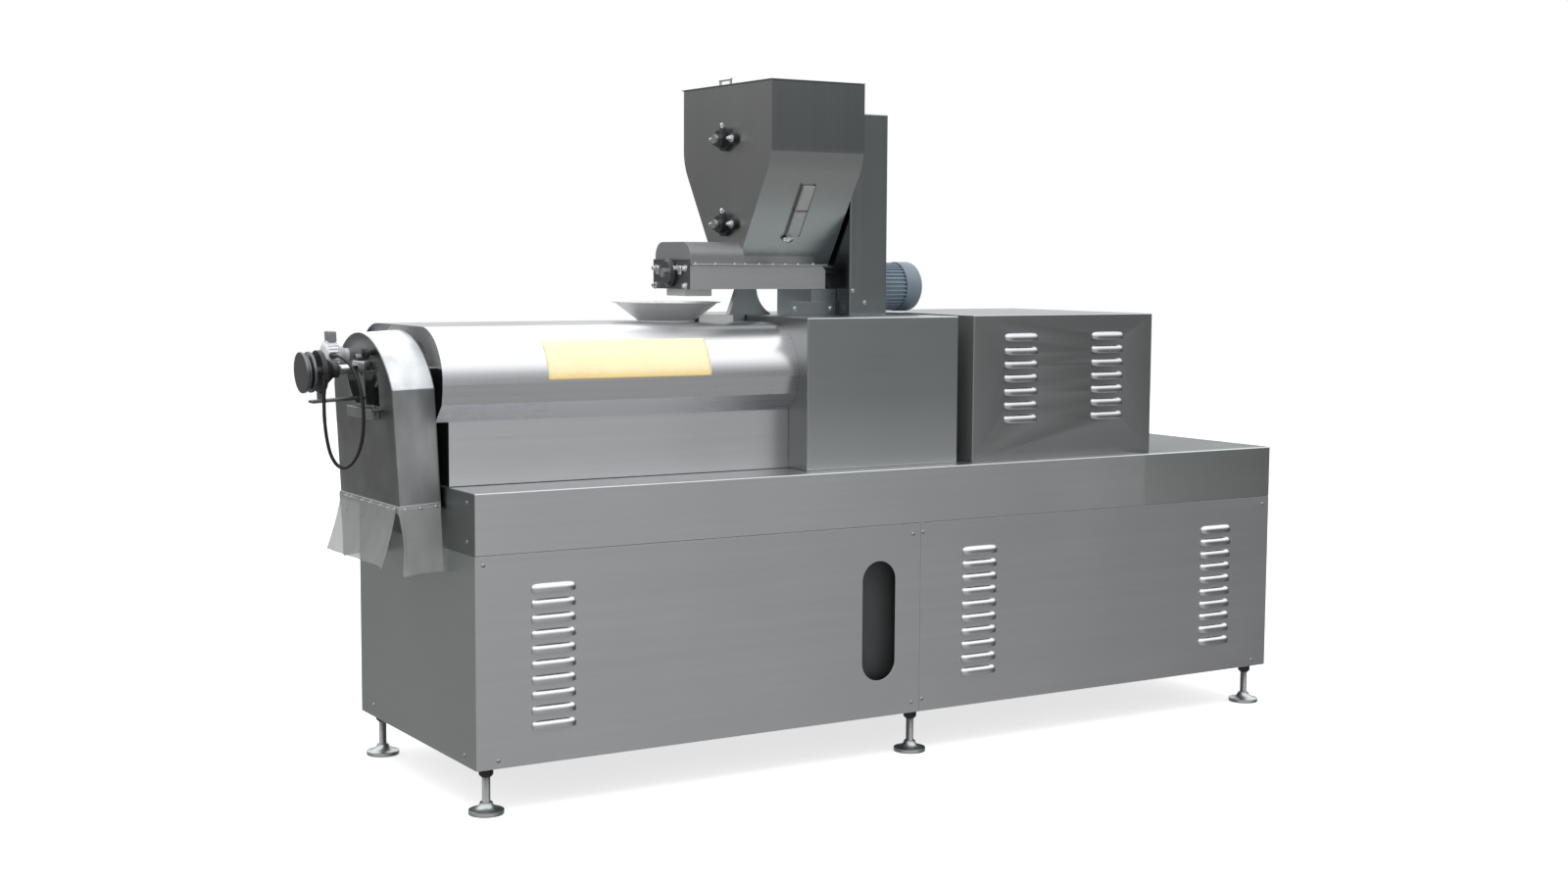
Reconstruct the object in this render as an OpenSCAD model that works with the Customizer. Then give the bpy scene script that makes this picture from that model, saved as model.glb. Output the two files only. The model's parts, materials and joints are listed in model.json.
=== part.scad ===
// Twin screw snack food extruder: panelled cabinet on levelling feet, covered barrel,
// gearbox and main motor housings, hopper with a screw feeder, and a hooded cutter head.
// Millimetres. X runs from the cutter end to the drive end, Y from front to back,
// Z up from the floor. Heights named "over deck" are measured from the deck's top.

/* [Cabinet] */
// Length of the cabinet
cab_l = 2990; // [2600:10:3600]
// Depth of the cabinet
cab_w = 900; // [840:10:1100]
// Height of the deck's top above the panels' bottom edge
cab_h = 770; // [700:10:920]
// Gap between the floor and the panels
foot_h = 135; // [100:1:180]
// Height of the deck tray's side band
band_h = 172; // [120:1:220]
// Sheet thickness of panels, covers and hoods
sheet = 2; // [1.5:0.5:3]
// Square tube size of the inner frame
tube = 60; // [50:1:80]
// Distance of the deck's sheet joint from the cutter end
deck_split = 2410; // [2300:1:2500]
// Gap between neighbouring sheets
joint = 0.3; // [0.2:0.05:1]
// Gap between the panels' top edges and the deck's side band
panel_gap = 1.6; // [1.4:0.1:4]

/* [Feet] */
// Distance of each foot's centre from the cabinet's edges
foot_inset = 50; // [40:1:60]
// Radius of the foot pad
pad_r = 50; // [40:1:60]
// Height of the foot pad
pad_h = 34; // [25:1:45]
// Radius of the foot stem
stem_r = 12; // [8:0.5:16]

/* [Louvres and slot] */
// Length of a louvre slot
louvre_l = 124; // [80:1:135]
// Height of a louvre slot
louvre_h = 8; // [5:0.5:12]
// Distance between louvre rows on the cabinet
louvre_pitch = 43; // [30:1:48]
// Number of louvre rows on the cabinet
louvre_rows = 10; // [6:1:10]
// Distance between louvre rows on the motor cover
cover_louvre_pitch = 44; // [30:1:48]
// Number of louvre rows on the motor cover
cover_louvre_rows = 7; // [4:1:7]
// Width of the inspection slot
slot_w = 122; // [80:1:140]
// Height of the inspection slot
slot_h = 373; // [250:1:420]
// Distance of the inspection slot's centre from the cutter end
slot_x = 1339; // [1200:1:1380]

/* [Barrel cover] */
// Height of the cover's top over deck
cover_h = 447; // [420:1:500]
// Half of the cover's widest width
cover_half = 330; // [300:1:350]
// Radius of the cover's shoulders
cover_r = 158; // [120:1:180]
// Height of the cover's lip over deck
lip_h = 183; // [150:1:200]
// Distance between the skirts' outer faces, halved
skirt_half = 270; // [250:1:275]
// Distance the cover stands past the cabinet's cutter end
cover_over = 38; // [10:1:45]
// Length of the skirts, from the cabinet's end to the gearbox cover
barrel_l = 1117; // [1000:1:1250]
// Height of the barrel's axis over deck
barrel_z = 328; // [320:1:345]
// Radius of the die head
die_r = 72; // [60:1:76]
// Distance of the die's face past the cabinet's end
die_over = 80; // [70:1:90]

/* [Drive covers] */
// Length of the gearbox cover
gear_l = 567; // [480:1:640]
// Height of the gearbox cover over deck
gear_h = 465; // [440:1:500]
// Width of the gearbox cover and the motor cover
gear_w = 756; // [700:1:790]
// Gap between the gearbox cover and the motor cover
cover_gap = 60; // [40:1:90]
// Length of the motor cover
motor_l = 751; // [650:1:800]
// Height of the motor cover over deck
motor_h = 467; // [440:1:500]
// Radius of the coupling guard
guard_r = 130; // [90:1:160]

/* [Feeder] */
// Distance of the feeder trough's left end from the cabinet's end
trough_x = 859; // [840:1:880]
// Length of the feeder trough
trough_l = 493; // [485:1:500]
// Width of the feeder trough
trough_w = 224; // [200:1:240]
// Height of the feeder trough
trough_h = 74; // [68:1:90]
// Height of the feeder's stand on the gearbox cover
stand_h = 83; // [70:1:110]
// Height of the feeder's own cover
feed_cover_h = 71; // [60:1:90]
// Radius of the feed screw
screw_r = 40; // [30:1:42]
// Radius of the feeder and agitator shafts
shaft_r = 14; // [10:0.5:16]
// Radial clearance of a shaft in its bearing
shaft_gap = 0.3; // [0.2:0.05:0.4]
// Radius of the feed funnel's rim
funnel_r = 168; // [150:1:190]
// Radius of the feed funnel's neck
funnel_neck_r = 89; // [80:1:110]
// Height of the feed funnel's cone
funnel_h = 57; // [35:1:70]
// Distance of the funnel's centre from the cabinet's end
funnel_x = 837; // [820:1:850]

/* [Hopper] */
// Length of the hopper along the machine
hopper_l = 338; // [325:1:345]
// Distance of the hopper's left wall from the cabinet's end
hopper_x = 1050; // [1046:1:1054]
// Width of the hopper's mouth
hopper_w = 548; // [460:1:640]
// Width of the hopper's outlet
hopper_neck_w = 140; // [120:1:150]
// Height of the hopper's tapered part
taper_h = 324; // [310:1:340]
// Height of the hopper's straight part
box_h = 235; // [220:1:300]
// Height of the upper agitator's axis above the start of the straight part
upper_rise = 69; // [60:1:80]
// Height of the lower agitator's axis above the trough
lower_rise = 128; // [125:1:140]
// Radius swept by the upper agitator
upper_r = 90; // [60:1:100]
// Radius swept by the lower agitator
lower_r = 80; // [60:1:85]

/* [Feeder drive] */
// Gap between the hopper and the drive tower
tower_gap = 10; // [6:1:14]
// Thickness of the drive tower along the machine
tower_t = 142; // [110:1:160]
// Width of the drive tower
tower_w = 364; // [300:1:400]
// Height of the drive tower above the gearbox cover
tower_h = 636; // [620:1:700]
// Radius of the feeder motor's body
motor_r = 80; // [70:1:84]
// Length of the feeder motor with its fan cover
feed_motor_l = 222; // [200:1:330]
// Length of the feeder motor's fan cover
fan_l = 68; // [45:1:90]

/* [Cutter] */
// Angle by which the cutter head leans out at its top
hood_lean = 2.9; // [0:0.1:6]
// Depth of the cutter hood
hood_d = 126; // [110:1:150]
// Half width of the cutter hood
hood_half = 233; // [215:1:240]
// Radius of the hood's arch, which meets the straight sides in a crease
arch_r = 253; // [245:1:270]
// Height of the hood's crown above the spindle
hood_crown = 102; // [90:1:110]
// Distance of the hood's bottom edge below the deck's top
hood_drop = 66; // [55:1:75]
// Radius of the cutter's hand wheel
wheel_r = 58; // [50:1:62]
// Distance of the hand wheel's outer face from the hood's back plane
wheel_reach = 303; // [290:1:315]
// Radius of the cutter spindle
spindle_r = 14; // [10:0.5:16]
// Length of the outer discharge flap below the hood
flap_l = 146; // [130:1:180]
// Length of the discharge flaps at the hood's sides
side_flap_l = 176; // [140:1:190]
// Distance the outer flap swings out at its bottom
flap_swing = 43; // [30:1:60]

/* [Hidden] */
$fn = 64;

half_w = cab_w / 2;
deck_z = foot_h + cab_h;
band_z = deck_z - band_h;
panel_inset = 1;                       // panels sit this far inside the deck tray's faces
frame_y = half_w - panel_inset - sheet;
frame_x0 = panel_inset + sheet;
frame_x1 = cab_l - panel_inset - sheet;
posts_x = [frame_x0, cab_l / 2 - tube / 2, frame_x1 - tube];
feet_x = [foot_inset, cab_l / 2, cab_l - foot_inset];
panel_mid = cab_l / 2;
louvre_z0 = foot_h + 104;              // centre of the lowest cabinet louvre
louvre_end = 236;                      // first louvre column's centre from the cutter end
louvre_right_1 = 230;                  // right panel: column centre from the panel joint
louvre_right_2 = 250;                  // right panel: column centre from the drive end

gear_x = barrel_l;
motor_x = gear_x + gear_l + cover_gap;
cover_top = deck_z + cover_h;
gear_top = deck_z + gear_h;
skirt_gap = 0.3;
end_plate_x = 20;
end_plate_t = 6;
barrel_axis = deck_z + barrel_z;
plate_t = 20;                          // feed port plate on the barrel cover
throat_r = 60;

trough_z = gear_top + stand_h;
split_z = trough_z + trough_h;
screw_z = trough_z + 50;
groove_r = screw_r + 4;
trough_end = trough_x + trough_l;
wall = 6;                              // trough wall
spout_x0 = trough_x + 11;
spout_l = 96;
spout_w = 116;
spout_drop = 22;

hopper_x1 = hopper_x + hopper_l;
taper_top = split_z + taper_h;
hopper_top = taper_top + box_h;
upper_z = taper_top + upper_rise;
lower_z = split_z + lower_rise;
slope = atan((hopper_w - hopper_neck_w) / 2 / taper_h);
bend_r = 160;                          // rolled bend where the hopper starts to taper
lid_t = 3;
hinge_x = hopper_x1 + 7;
hinge_z = hopper_top + joint + lid_t / 2;

tower_x = hopper_x1 + tower_gap;
tower_x1 = tower_x + tower_t;
feed_motor_z = gear_top + 89;
shaft_bite = 30;                       // depth of a shaft's end in the drive tower

// Cutter frame: x is the spindle's direction, z is along the hood's face.
hood_x = -6.5;
hood_z = deck_z - hood_drop;
die_dx = -die_over - hood_x;
die_dz = barrel_axis - hood_z;
spindle_z = die_dz * cos(hood_lean) - die_dx * sin(hood_lean);
die_u = die_dx * cos(hood_lean) + die_dz * sin(hood_lean);
arch_z = spindle_z + hood_crown - arch_r;
face_x = -hood_d;
face_t = 3;
window_r = 120;                        // curved side of the window, about the spindle
window_y = 132;                        // straight side of the window
window_top = spindle_z + 9;
mullion = 22;                          // half width of the bar that carries the bracket
window_z = spindle_z - 102;
bearing_x = -256;
bearing_flange_t = 14;
bearing_l = 60;
motor_y = 100;
cut_motor_z = spindle_z + 37;
cut_motor_r = 42;
cut_motor_l = 76;

// The origin is the centre of the machine's outline on the floor.
wheel_x = hood_x - wheel_reach * cos(hood_lean) - (spindle_z + wheel_r) * sin(hood_lean);
mid_x = (cab_l + wheel_x) / 2;

// Route of the cutter motor's cable, from the motor's gland to the bearing's gland.
cable_d = 10;
cable_route = [
    [-215, 44, 1264], [-215, 26, 1264], [-214, 4, 1263], [-211, -22, 1259],
    [-206, -50, 1247], [-198, -75, 1222], [-191, -94, 1185], [-187, -105, 1140],
    [-186, -109, 1090], [-190, -108, 1040], [-199, -102, 1000], [-214, -94, 970],
    [-233, -83, 955], [-252, -74, 963], [-268, -67, 993], [-278, -64, 1040],
    [-283, -63, 1090], [-284, -63, 1130], [-284, -63, 1160], [-284, -63, 1186]
];

module placed() {
    translate([-mid_x, 0, 0]) children();
}

module leaned() {
    translate([hood_x, 0, hood_z]) rotate([0, -hood_lean, 0]) children();
}

module box(a, b) {
    translate(a) cube(b - a);
}

module both_sides() {
    children();
    mirror([0, 1, 0]) children();
}

module x_rod(x0, x1, r) {
    translate([x0, 0, 0]) rotate([0, 90, 0]) cylinder(h = x1 - x0, r = r);
}

// ---- cabinet -------------------------------------------------------------

module long_rails() {
    color("dimgray") placed() both_sides() {
        box([frame_x0, -frame_y, foot_h], [frame_x1, tube - frame_y, foot_h + tube]);
        box([frame_x0, -frame_y, deck_z - sheet - tube], [frame_x1, tube - frame_y, deck_z - sheet]);
    }
}

module cross_rails() {
    color("dimgray") placed() for (x = posts_x) {
        box([x, tube - frame_y, foot_h], [x + tube, frame_y - tube, foot_h + tube]);
        box([x, tube - frame_y, deck_z - sheet - tube], [x + tube, frame_y - tube, deck_z - sheet]);
    }
}

module frame_posts() {
    color("dimgray") placed() both_sides() for (x = posts_x)
        box([x, -frame_y, foot_h + tube], [x + tube, tube - frame_y, deck_z - sheet - tube]);
}

module at_feet() {
    for (x = feet_x, y = [foot_inset - half_w, half_w - foot_inset]) translate([x, y, 0]) children();
}

module foot_pads() {
    rim = 7;
    color("silver") placed() at_feet() rotate_extrude() difference() {
        union() {
            square([pad_r, rim]);
            translate([0, rim]) intersection() {
                scale_r = pad_r - 6;
                translate([0, pad_h - rim - scale_r]) circle(r = scale_r);
                square([pad_r, pad_h - rim]);
            }
        }
        translate([-pad_r, -1]) square([pad_r, pad_h + 2]);
    }
}

module foot_stems() {
    color("silver") placed() at_feet() translate([0, 0, pad_h])
        cylinder(h = foot_h - pad_h, r = stem_r);
}

module louvre_slots(x, z0, rows, pitch) {
    for (i = [0:rows - 1]) translate([x - louvre_l / 2, z0 + i * pitch - louvre_h / 2])
        square([louvre_l, louvre_h]);
}

// A flat panel drawn in X and Z, set in place on the front.
module front_panel(x0, x1) {
    translate([0, panel_inset + sheet - half_w, 0]) rotate([90, 0, 0]) linear_extrude(sheet)
        difference() {
            translate([x0, foot_h]) square([x1 - x0, band_z - panel_gap - foot_h]);
            children();
        }
}

module left_louvres() {
    louvre_slots(louvre_end, louvre_z0, louvre_rows, louvre_pitch);
}

module right_louvres() {
    louvre_slots(panel_mid + 2 * louvre_right_1 - 230, louvre_z0, louvre_rows, louvre_pitch);
    louvre_slots(cab_l - louvre_right_2, louvre_z0, louvre_rows, louvre_pitch);
}

module inspection_slot() {
    z = foot_h + 301;
    for (s = [-1, 1]) translate([slot_x, z + s * (slot_h - slot_w) / 2]) circle(d = slot_w);
    translate([slot_x - slot_w / 2, z - (slot_h - slot_w) / 2]) square([slot_w, slot_h - slot_w]);
}

module panel_front_left() {
    color("darkgray") placed() front_panel(panel_inset, panel_mid - joint) {
        left_louvres();
        inspection_slot();
    }
}

module panel_front_right() {
    color("darkgray") placed() front_panel(panel_mid + joint, cab_l - panel_inset) right_louvres();
}

module panel_back_left() {
    color("darkgray") placed() mirror([0, 1, 0]) front_panel(panel_inset, panel_mid - joint)
        left_louvres();
}

module panel_back_right() {
    color("darkgray") placed() mirror([0, 1, 0])
        front_panel(panel_mid + joint, cab_l - panel_inset) right_louvres();
}

module end_panel(x) {
    y = frame_y - joint;
    box([x, -y, foot_h], [x + sheet, y, band_z - panel_gap]);
}

module panel_end_left() {
    color("gray") placed() end_panel(panel_inset);
}

module panel_end_right() {
    color("gray") placed() end_panel(cab_l - panel_inset - sheet);
}

// Folded tray: top sheet with a band down the front and the back.
module deck_tray(x0, x1) {
    box([x0, -half_w, deck_z - sheet], [x1, half_w, deck_z]);
    both_sides() box([x0, -half_w, band_z], [x1, sheet - half_w, deck_z - sheet]);
}

module deck_left() {
    color("silver") placed() {
        deck_tray(0, deck_split - joint / 2);
        box([0, sheet - half_w, band_z], [sheet, half_w - sheet, deck_z - sheet]);
    }
}

module deck_right() {
    color("silver") placed() {
        deck_tray(deck_split + joint / 2, cab_l);
        box([cab_l - sheet, sheet - half_w, band_z], [cab_l, half_w - sheet, deck_z - sheet]);
    }
}

// ---- barrel --------------------------------------------------------------

// Closed section of the barrel cover, drawn in Y and Z over deck, shrunk by t.
module cover_section(t) {
    cy = cover_half - cover_r;
    cz = cover_h - cover_r;
    r = cover_r - t;
    lip_y = cover_half - 10 - t;
    foot_y = skirt_half + sheet + skirt_gap - t;
    intersection() {
        for (s = [-1, 1]) translate([s * cy, cz]) circle(r = r);
        translate([-cy - r, cz]) square([2 * (cy + r), r]);
    }
    translate([-cy, cz]) square([2 * cy, r]);
    polygon([
        [-cy - r, cz], [-lip_y, lip_h + 51], [-foot_y, lip_h],
        [foot_y, lip_h], [lip_y, lip_h + 51], [cy + r, cz]
    ]);
}

// Sections drawn in Y and Z are stood up along X.
module along_x(x0, x1) {
    translate([x0, 0, deck_z]) rotate([90, 0, 90]) linear_extrude(x1 - x0) children();
}

module barrel_cover() {
    color("gainsboro") placed() difference() {
        along_x(-cover_over, barrel_l - joint) difference() {
            cover_section(0);
            cover_section(sheet);
            translate([-skirt_half - skirt_gap, lip_h - 1]) square([2 * (skirt_half + skirt_gap), 2]);
        }
        translate([funnel_x, 0, cover_top - 10]) cylinder(h = 20, r = throat_r);
    }
}

module barrel_skirts() {
    color("gainsboro") placed() both_sides()
        box([end_plate_x - 18, -skirt_half, deck_z], [barrel_l - joint, sheet - skirt_half, deck_z + lip_h + 4]);
}

module barrel_end_plate() {
    color("gray") placed() difference() {
        along_x(end_plate_x, end_plate_x + end_plate_t) difference() {
            cover_section(sheet + skirt_gap);
            translate([-cover_half, lip_h - 1]) square([2 * cover_half, 5 + joint]);
        }
        translate([0, 0, barrel_axis]) x_rod(0, end_plate_x + end_plate_t + 1, die_r - 20);
    }
}

module barrel_support() {
    y = skirt_half - sheet - skirt_gap;
    color("#202020") placed() {
        box([end_plate_x, -y, deck_z], [end_plate_x + end_plate_t, y, deck_z + lip_h + 4]);
        box([end_plate_x + end_plate_t, -150, deck_z], [end_plate_x + 110, 150, barrel_axis - die_r]);
    }
}

module die_head() {
    color("silver") placed() difference() {
        translate([0, 0, barrel_axis]) x_rod(-die_over, end_plate_x, die_r);
        translate([0, 0, barrel_axis]) for (i = [0:7]) rotate([i * 45, 0, 0]) translate([0, die_r - 30, 0])
            x_rod(-die_over - 1, 20 - die_over, 5);
    }
}

// ---- drive covers --------------------------------------------------------

module gearbox_cover() {
    color("dimgray") placed()
        box([gear_x, -gear_w / 2, deck_z], [gear_x + gear_l, gear_w / 2, gear_top]);
}

module motor_cover() {
    t = 3;
    color("dimgray") placed() difference() {
        box([motor_x, -gear_w / 2, deck_z], [motor_x + motor_l, gear_w / 2, deck_z + motor_h]);
        both_sides() translate([0, t - gear_w / 2, 0]) rotate([90, 0, 0]) linear_extrude(t + 1)
            for (x = [motor_x + 192, motor_x + 555])
                louvre_slots(x, deck_z + 126, cover_louvre_rows, cover_louvre_pitch);
    }
}

module coupling_guard() {
    color("gray") placed() translate([0, 0, deck_z + gear_h / 2])
        x_rod(gear_x + gear_l, motor_x, guard_r);
}

// ---- feeder --------------------------------------------------------------

module feed_funnel() {
    lip = 6;
    base = 4;
    color("gray") placed() translate([0, 0, cover_top]) difference() {
        union() {
            box([funnel_x + funnel_neck_r - 6, -throat_r, 0], [hopper_x - 8, throat_r, plate_t]);
            translate([funnel_x, 0, 0]) cylinder(h = base, r = funnel_neck_r);
            translate([funnel_x, 0, base]) {
                cylinder(h = funnel_h, r1 = funnel_neck_r, r2 = funnel_r - lip);
                translate([0, 0, funnel_h - sheet]) cylinder(h = sheet, r = funnel_r);
            }
        }
        translate([funnel_x, 0, base]) {
            cylinder(h = funnel_h, r1 = funnel_neck_r - 3, r2 = funnel_r - lip - 3);
            translate([0, 0, funnel_h - 0.01]) cylinder(h = 1, r = funnel_r - lip - 3);
        }
        translate([funnel_x, 0, -1]) cylinder(h = base + 2, r = throat_r);
    }
}

module trough_section() {
    h = split_z - trough_z;
    z = screw_z - trough_z;
    difference() {
        translate([-trough_w / 2, 0]) square([trough_w, h]);
        translate([0, z]) circle(r = groove_r);
        translate([-groove_r, z]) square([2 * groove_r, h]);
    }
}

module feeder_trough() {
    chamfer = 14;
    color("silver") placed() difference() {
        union() {
            translate([trough_x, 0, trough_z]) rotate([90, 0, 90]) linear_extrude(trough_l)
                trough_section();
            box([trough_end - wall, -groove_r - 5, trough_z + 2], [trough_end, groove_r + 5, split_z]);
        }
        translate([0, 0, screw_z]) x_rod(trough_end - 20, trough_end + 1, shaft_r + shaft_gap);
        box([spout_x0 + 4, 4 - groove_r, trough_z - 1], [spout_x0 + spout_l - 4, groove_r - 4, screw_z]);
        translate([trough_end, trough_w, split_z - chamfer]) rotate([90, 0, 0])
            linear_extrude(2 * trough_w) polygon([[0, chamfer + 1], [-chamfer, chamfer + 1], [0, 0], [1, 0], [1, chamfer + 1]]);
    }
}

module feeder_cover() {
    r = 45;
    t = 3;
    l = hopper_x - joint - trough_x;
    module outline(d) {
        y = trough_w / 2 - d;
        intersection() {
            for (s = [-1, 1]) translate([s * (y - r + d), feed_cover_h - r]) circle(r = r - d);
            translate([-y, feed_cover_h - r]) square([2 * y, r]);
        }
        translate([r - trough_w / 2, 0]) square([trough_w - 2 * r, feed_cover_h - d]);
        translate([-y, 0]) square([2 * y, feed_cover_h - r]);
    }
    color("silver") placed() translate([trough_x, 0, split_z]) rotate([90, 0, 90]) difference() {
        linear_extrude(l) outline(0);
        translate([0, 0, t]) linear_extrude(l) {
            outline(t);
            translate([t - trough_w / 2, -1]) square([trough_w - 2 * t, 2]);
        }
    }
}

module feeder_end_plate() {
    color("gray") placed() translate([0, 0, screw_z]) difference() {
        union() {
            translate([trough_x - 8, 0, 0]) box([0, -trough_w / 2, trough_z - screw_z], [8, trough_w / 2, 42]);
            x_rod(trough_x - 26, trough_x - 8, 36);
        }
        x_rod(trough_x - 40, trough_x + 1, shaft_r + shaft_gap);
    }
}

module feeder_spout() {
    y = spout_w / 2;
    color("gray") placed() translate([0, 0, trough_z]) difference() {
        box([spout_x0, -y, -spout_drop], [spout_x0 + spout_l, y, 0]);
        box([spout_x0 + 4, -y + 4, -spout_drop - 1], [spout_x0 + spout_l - 4, y - 4, 1]);
    }
}

// Pressed column with a flared foot: the foot steps from the barrel cover up to the gearbox cover.
module feeder_pedestal() {
    x0 = 1050;
    x1 = 1208;
    color("dimgray") placed() translate([0, 12, 0]) rotate([90, 0, 0]) linear_extrude(24) difference() {
        polygon([
            [x0, cover_top + joint], [gear_x - 4, cover_top + joint],
            [gear_x - 4, gear_top + joint], [x1, gear_top + joint], [x1, gear_top + 4],
            [1158, trough_z], [1088, trough_z]
        ]);
        translate([1252, trough_z + 7]) circle(r = 96);
    }
}

module feeder_stand() {
    x0 = 1305;
    x1 = tower_x - joint;
    color("dimgray") placed() {
        box([x0, -105, gear_top], [x1, 105, trough_z]);
        box([x0 - 78, -108, gear_top], [x1 - 8, -105, gear_top + 43]);
    }
}

module helix_blade(r, pitch, l) {
    linear_extrude(height = l, twist = -360 * l / pitch, slices = ceil(l / pitch * 12), $fn = 8)
        translate([0, -2.5]) square([r, 5]);
}

module feed_screw() {
    x0 = trough_x + 12;
    color("silver") placed() translate([0, 0, screw_z]) {
        x_rod(trough_x - 38, tower_x + shaft_bite, shaft_r);
        translate([x0, 0, 0]) rotate([0, 90, 0])
            helix_blade(screw_r, 70, trough_end - wall - 8 - x0);
    }
}

// ---- hopper --------------------------------------------------------------

// Section of the hopper in Y and Z above the trough, shrunk by t.
module hopper_section(t) {
    top = (hopper_w / 2) - t;
    low = (hopper_neck_w / 2) - t;
    r = bend_r - t;
    rise = taper_h + bend_r * tan(slope / 2);
    bend = [for (i = [0:8]) let (a = i * slope / 8) [top - r * (1 - cos(a)), rise - r * sin(a)]];
    edge = concat([[top, taper_h + box_h]], bend, [[low, 0]]);
    polygon(concat(edge, [for (i = [len(edge) - 1:-1:0]) [-edge[i].x, edge[i].y]]));
}

module hopper() {
    color("gray") placed() difference() {
        translate([hopper_x, 0, split_z]) rotate([90, 0, 90]) linear_extrude(hopper_l) hopper_section(0);
        translate([hopper_x + sheet, 0, split_z]) rotate([90, 0, 90])
            linear_extrude(hopper_l - 2 * sheet) {
                difference() {
                    hopper_section(sheet);
                    translate([-hopper_neck_w, -1]) square([2 * hopper_neck_w, 1 + sheet]);
                }
                translate([sheet - hopper_w / 2, taper_h + box_h - 1]) square([hopper_w - 2 * sheet, 2]);
            }
        box([hopper_x + sheet, -groove_r, split_z - 1], [trough_end - wall, groove_r, split_z + 2 * sheet]);
        translate([0, 0, screw_z]) x_rod(hopper_x - 1, hopper_x + 10, screw_r + 6);
        for (z = [upper_z, lower_z]) translate([0, 0, z]) x_rod(hopper_x - 1, hopper_x1 + 1, shaft_r + 2);
    }
}

module hopper_lid() {
    over = 5;
    color("gray") placed() {
        difference() {
            union() {
                box([hopper_x - over, -hopper_w / 2 - over, hopper_top + joint],
                    [hopper_x1 - 1, hopper_w / 2 + over, hopper_top + joint + lid_t]);
                for (y = [-160, 120]) {
                    box([hopper_x1 - 2, y, hopper_top + joint], [hinge_x, y + 40, hopper_top + joint + lid_t]);
                    translate([hinge_x, y + 40, hinge_z]) rotate([90, 0, 0]) cylinder(h = 40, r = 6);
                }
            }
            translate([hinge_x, hopper_w / 2, hinge_z]) rotate([90, 0, 0])
                cylinder(h = hopper_w, r = 3 + shaft_gap);
        }
    }
}

module lid_hinge() {
    color("silver") placed() {
        translate([hinge_x, 190, hinge_z]) rotate([90, 0, 0]) cylinder(h = 380, r = 3);
        for (y = [-190, -100, 90, 180]) {
            box([hopper_x1, y, hopper_top - 26], [hinge_x + 5, y + 10, hopper_top - 6]);
            box([hinge_x - 3, y, hopper_top - 6], [hinge_x + 5, y + 10, hinge_z + 4]);
        }
    }
}

module lid_handle() {
    x = hopper_x + 22;
    z = hopper_top + joint + lid_t;
    color("silver") placed() {
        for (y = [10, 74]) translate([x, y, z]) cylinder(h = 20, r = 4);
        translate([x, 78, z + 18]) rotate([90, 0, 0]) cylinder(h = 72, r = 4);
    }
}

// Flat strip laid on the front slope of the hopper.
module sight_strip() {
    reach = (hopper_w - hopper_neck_w) / 2;
    along = 96;
    l = 178;
    color("whitesmoke") placed()
        translate([hopper_x + 142, -hopper_neck_w / 2, split_z]) rotate([slope, 0, 0])
            box([0, -8, along / cos(slope)], [44, 0, along / cos(slope) + l]);
}

module agitator_bearing() {
    difference() {
        union() {
            linear_extrude(12) {
                hull() for (s = [-1, 1]) translate([0, s * 54]) circle(r = 18, $fn = 32);
                circle(r = 38);
            }
            cylinder(h = 30, r = 27);
        }
        translate([0, 0, -1]) cylinder(h = 40, r = shaft_r + shaft_gap);
    }
}

module agitator_bearings() {
    color("#303030") placed() for (z = [upper_z, lower_z])
        translate([hopper_x, 0, z]) rotate([0, -90, 0]) agitator_bearing();
}

// Shaft with pairs of round arms along it.
module agitator(r) {
    x_rod(hopper_x - 46, tower_x + shaft_bite, shaft_r);
    for (i = [0:3]) translate([hopper_x + 50 + i * 78, 0, 0]) rotate([i * 90, 0, 0])
        translate([0, 0, -r]) cylinder(h = 2 * r, r = 7);
}

module agitator_upper() {
    color("silver") placed() translate([0, 0, upper_z]) agitator(upper_r);
}

module agitator_lower() {
    color("silver") placed() translate([0, 0, lower_z]) agitator(lower_r);
}

// ---- feeder drive --------------------------------------------------------

module drive_tower() {
    y = tower_w / 2;
    color("dimgray") placed() difference() {
        box([tower_x, -y, gear_top], [tower_x1, y, gear_top + tower_h]);
        for (z = [upper_z, lower_z, screw_z]) translate([0, 0, z])
            x_rod(tower_x - 1, tower_x + shaft_bite + 5, shaft_r + shaft_gap);
    }
}

module feeder_motor() {
    fins = 36;
    fin_h = 9;
    l = feed_motor_l - fan_l;
    color("slategray") placed() translate([0, 0, feed_motor_z]) {
        x_rod(tower_x1, tower_x1 + l, motor_r - fin_h);
        x_rod(tower_x1, tower_x1 + 12, motor_r);
        translate([tower_x1 + 12, 0, 0]) rotate([0, 90, 0]) linear_extrude(l - 12)
            for (i = [0:fins - 1]) rotate(i * 360 / fins) translate([motor_r - fin_h - 3, -1.5])
                square([fin_h + 2, 3]);
    }
}

module feeder_fan_cover() {
    x = tower_x1 + feed_motor_l - fan_l;
    color("lightsteelblue") placed() translate([0, 0, feed_motor_z]) {
        x_rod(x, x + fan_l - 18, motor_r + 1);
        translate([x + fan_l - 18, 0, 0]) rotate([0, 90, 0]) {
            cylinder(h = 10, r1 = motor_r + 1, r2 = motor_r - 3);
            translate([0, 0, 10]) cylinder(h = 8, r1 = motor_r - 3, r2 = motor_r - 12);
        }
    }
}

// ---- cutter hood ---------------------------------------------------------

// Arched outline of the hood in Y and Z of the cutter frame, shrunk by t.
module hood_outline(t) {
    intersection() {
        translate([0, arch_z]) circle(r = arch_r - t);
        translate([t - hood_half, arch_z - 1]) square([2 * (hood_half - t), arch_r + 1]);
    }
    translate([t - hood_half, 0]) square([2 * (hood_half - t), arch_z]);
}

module hood_sheet(x, t) {
    translate([x, 0, 0]) rotate([90, 0, 90]) linear_extrude(t) children();
}

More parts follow.
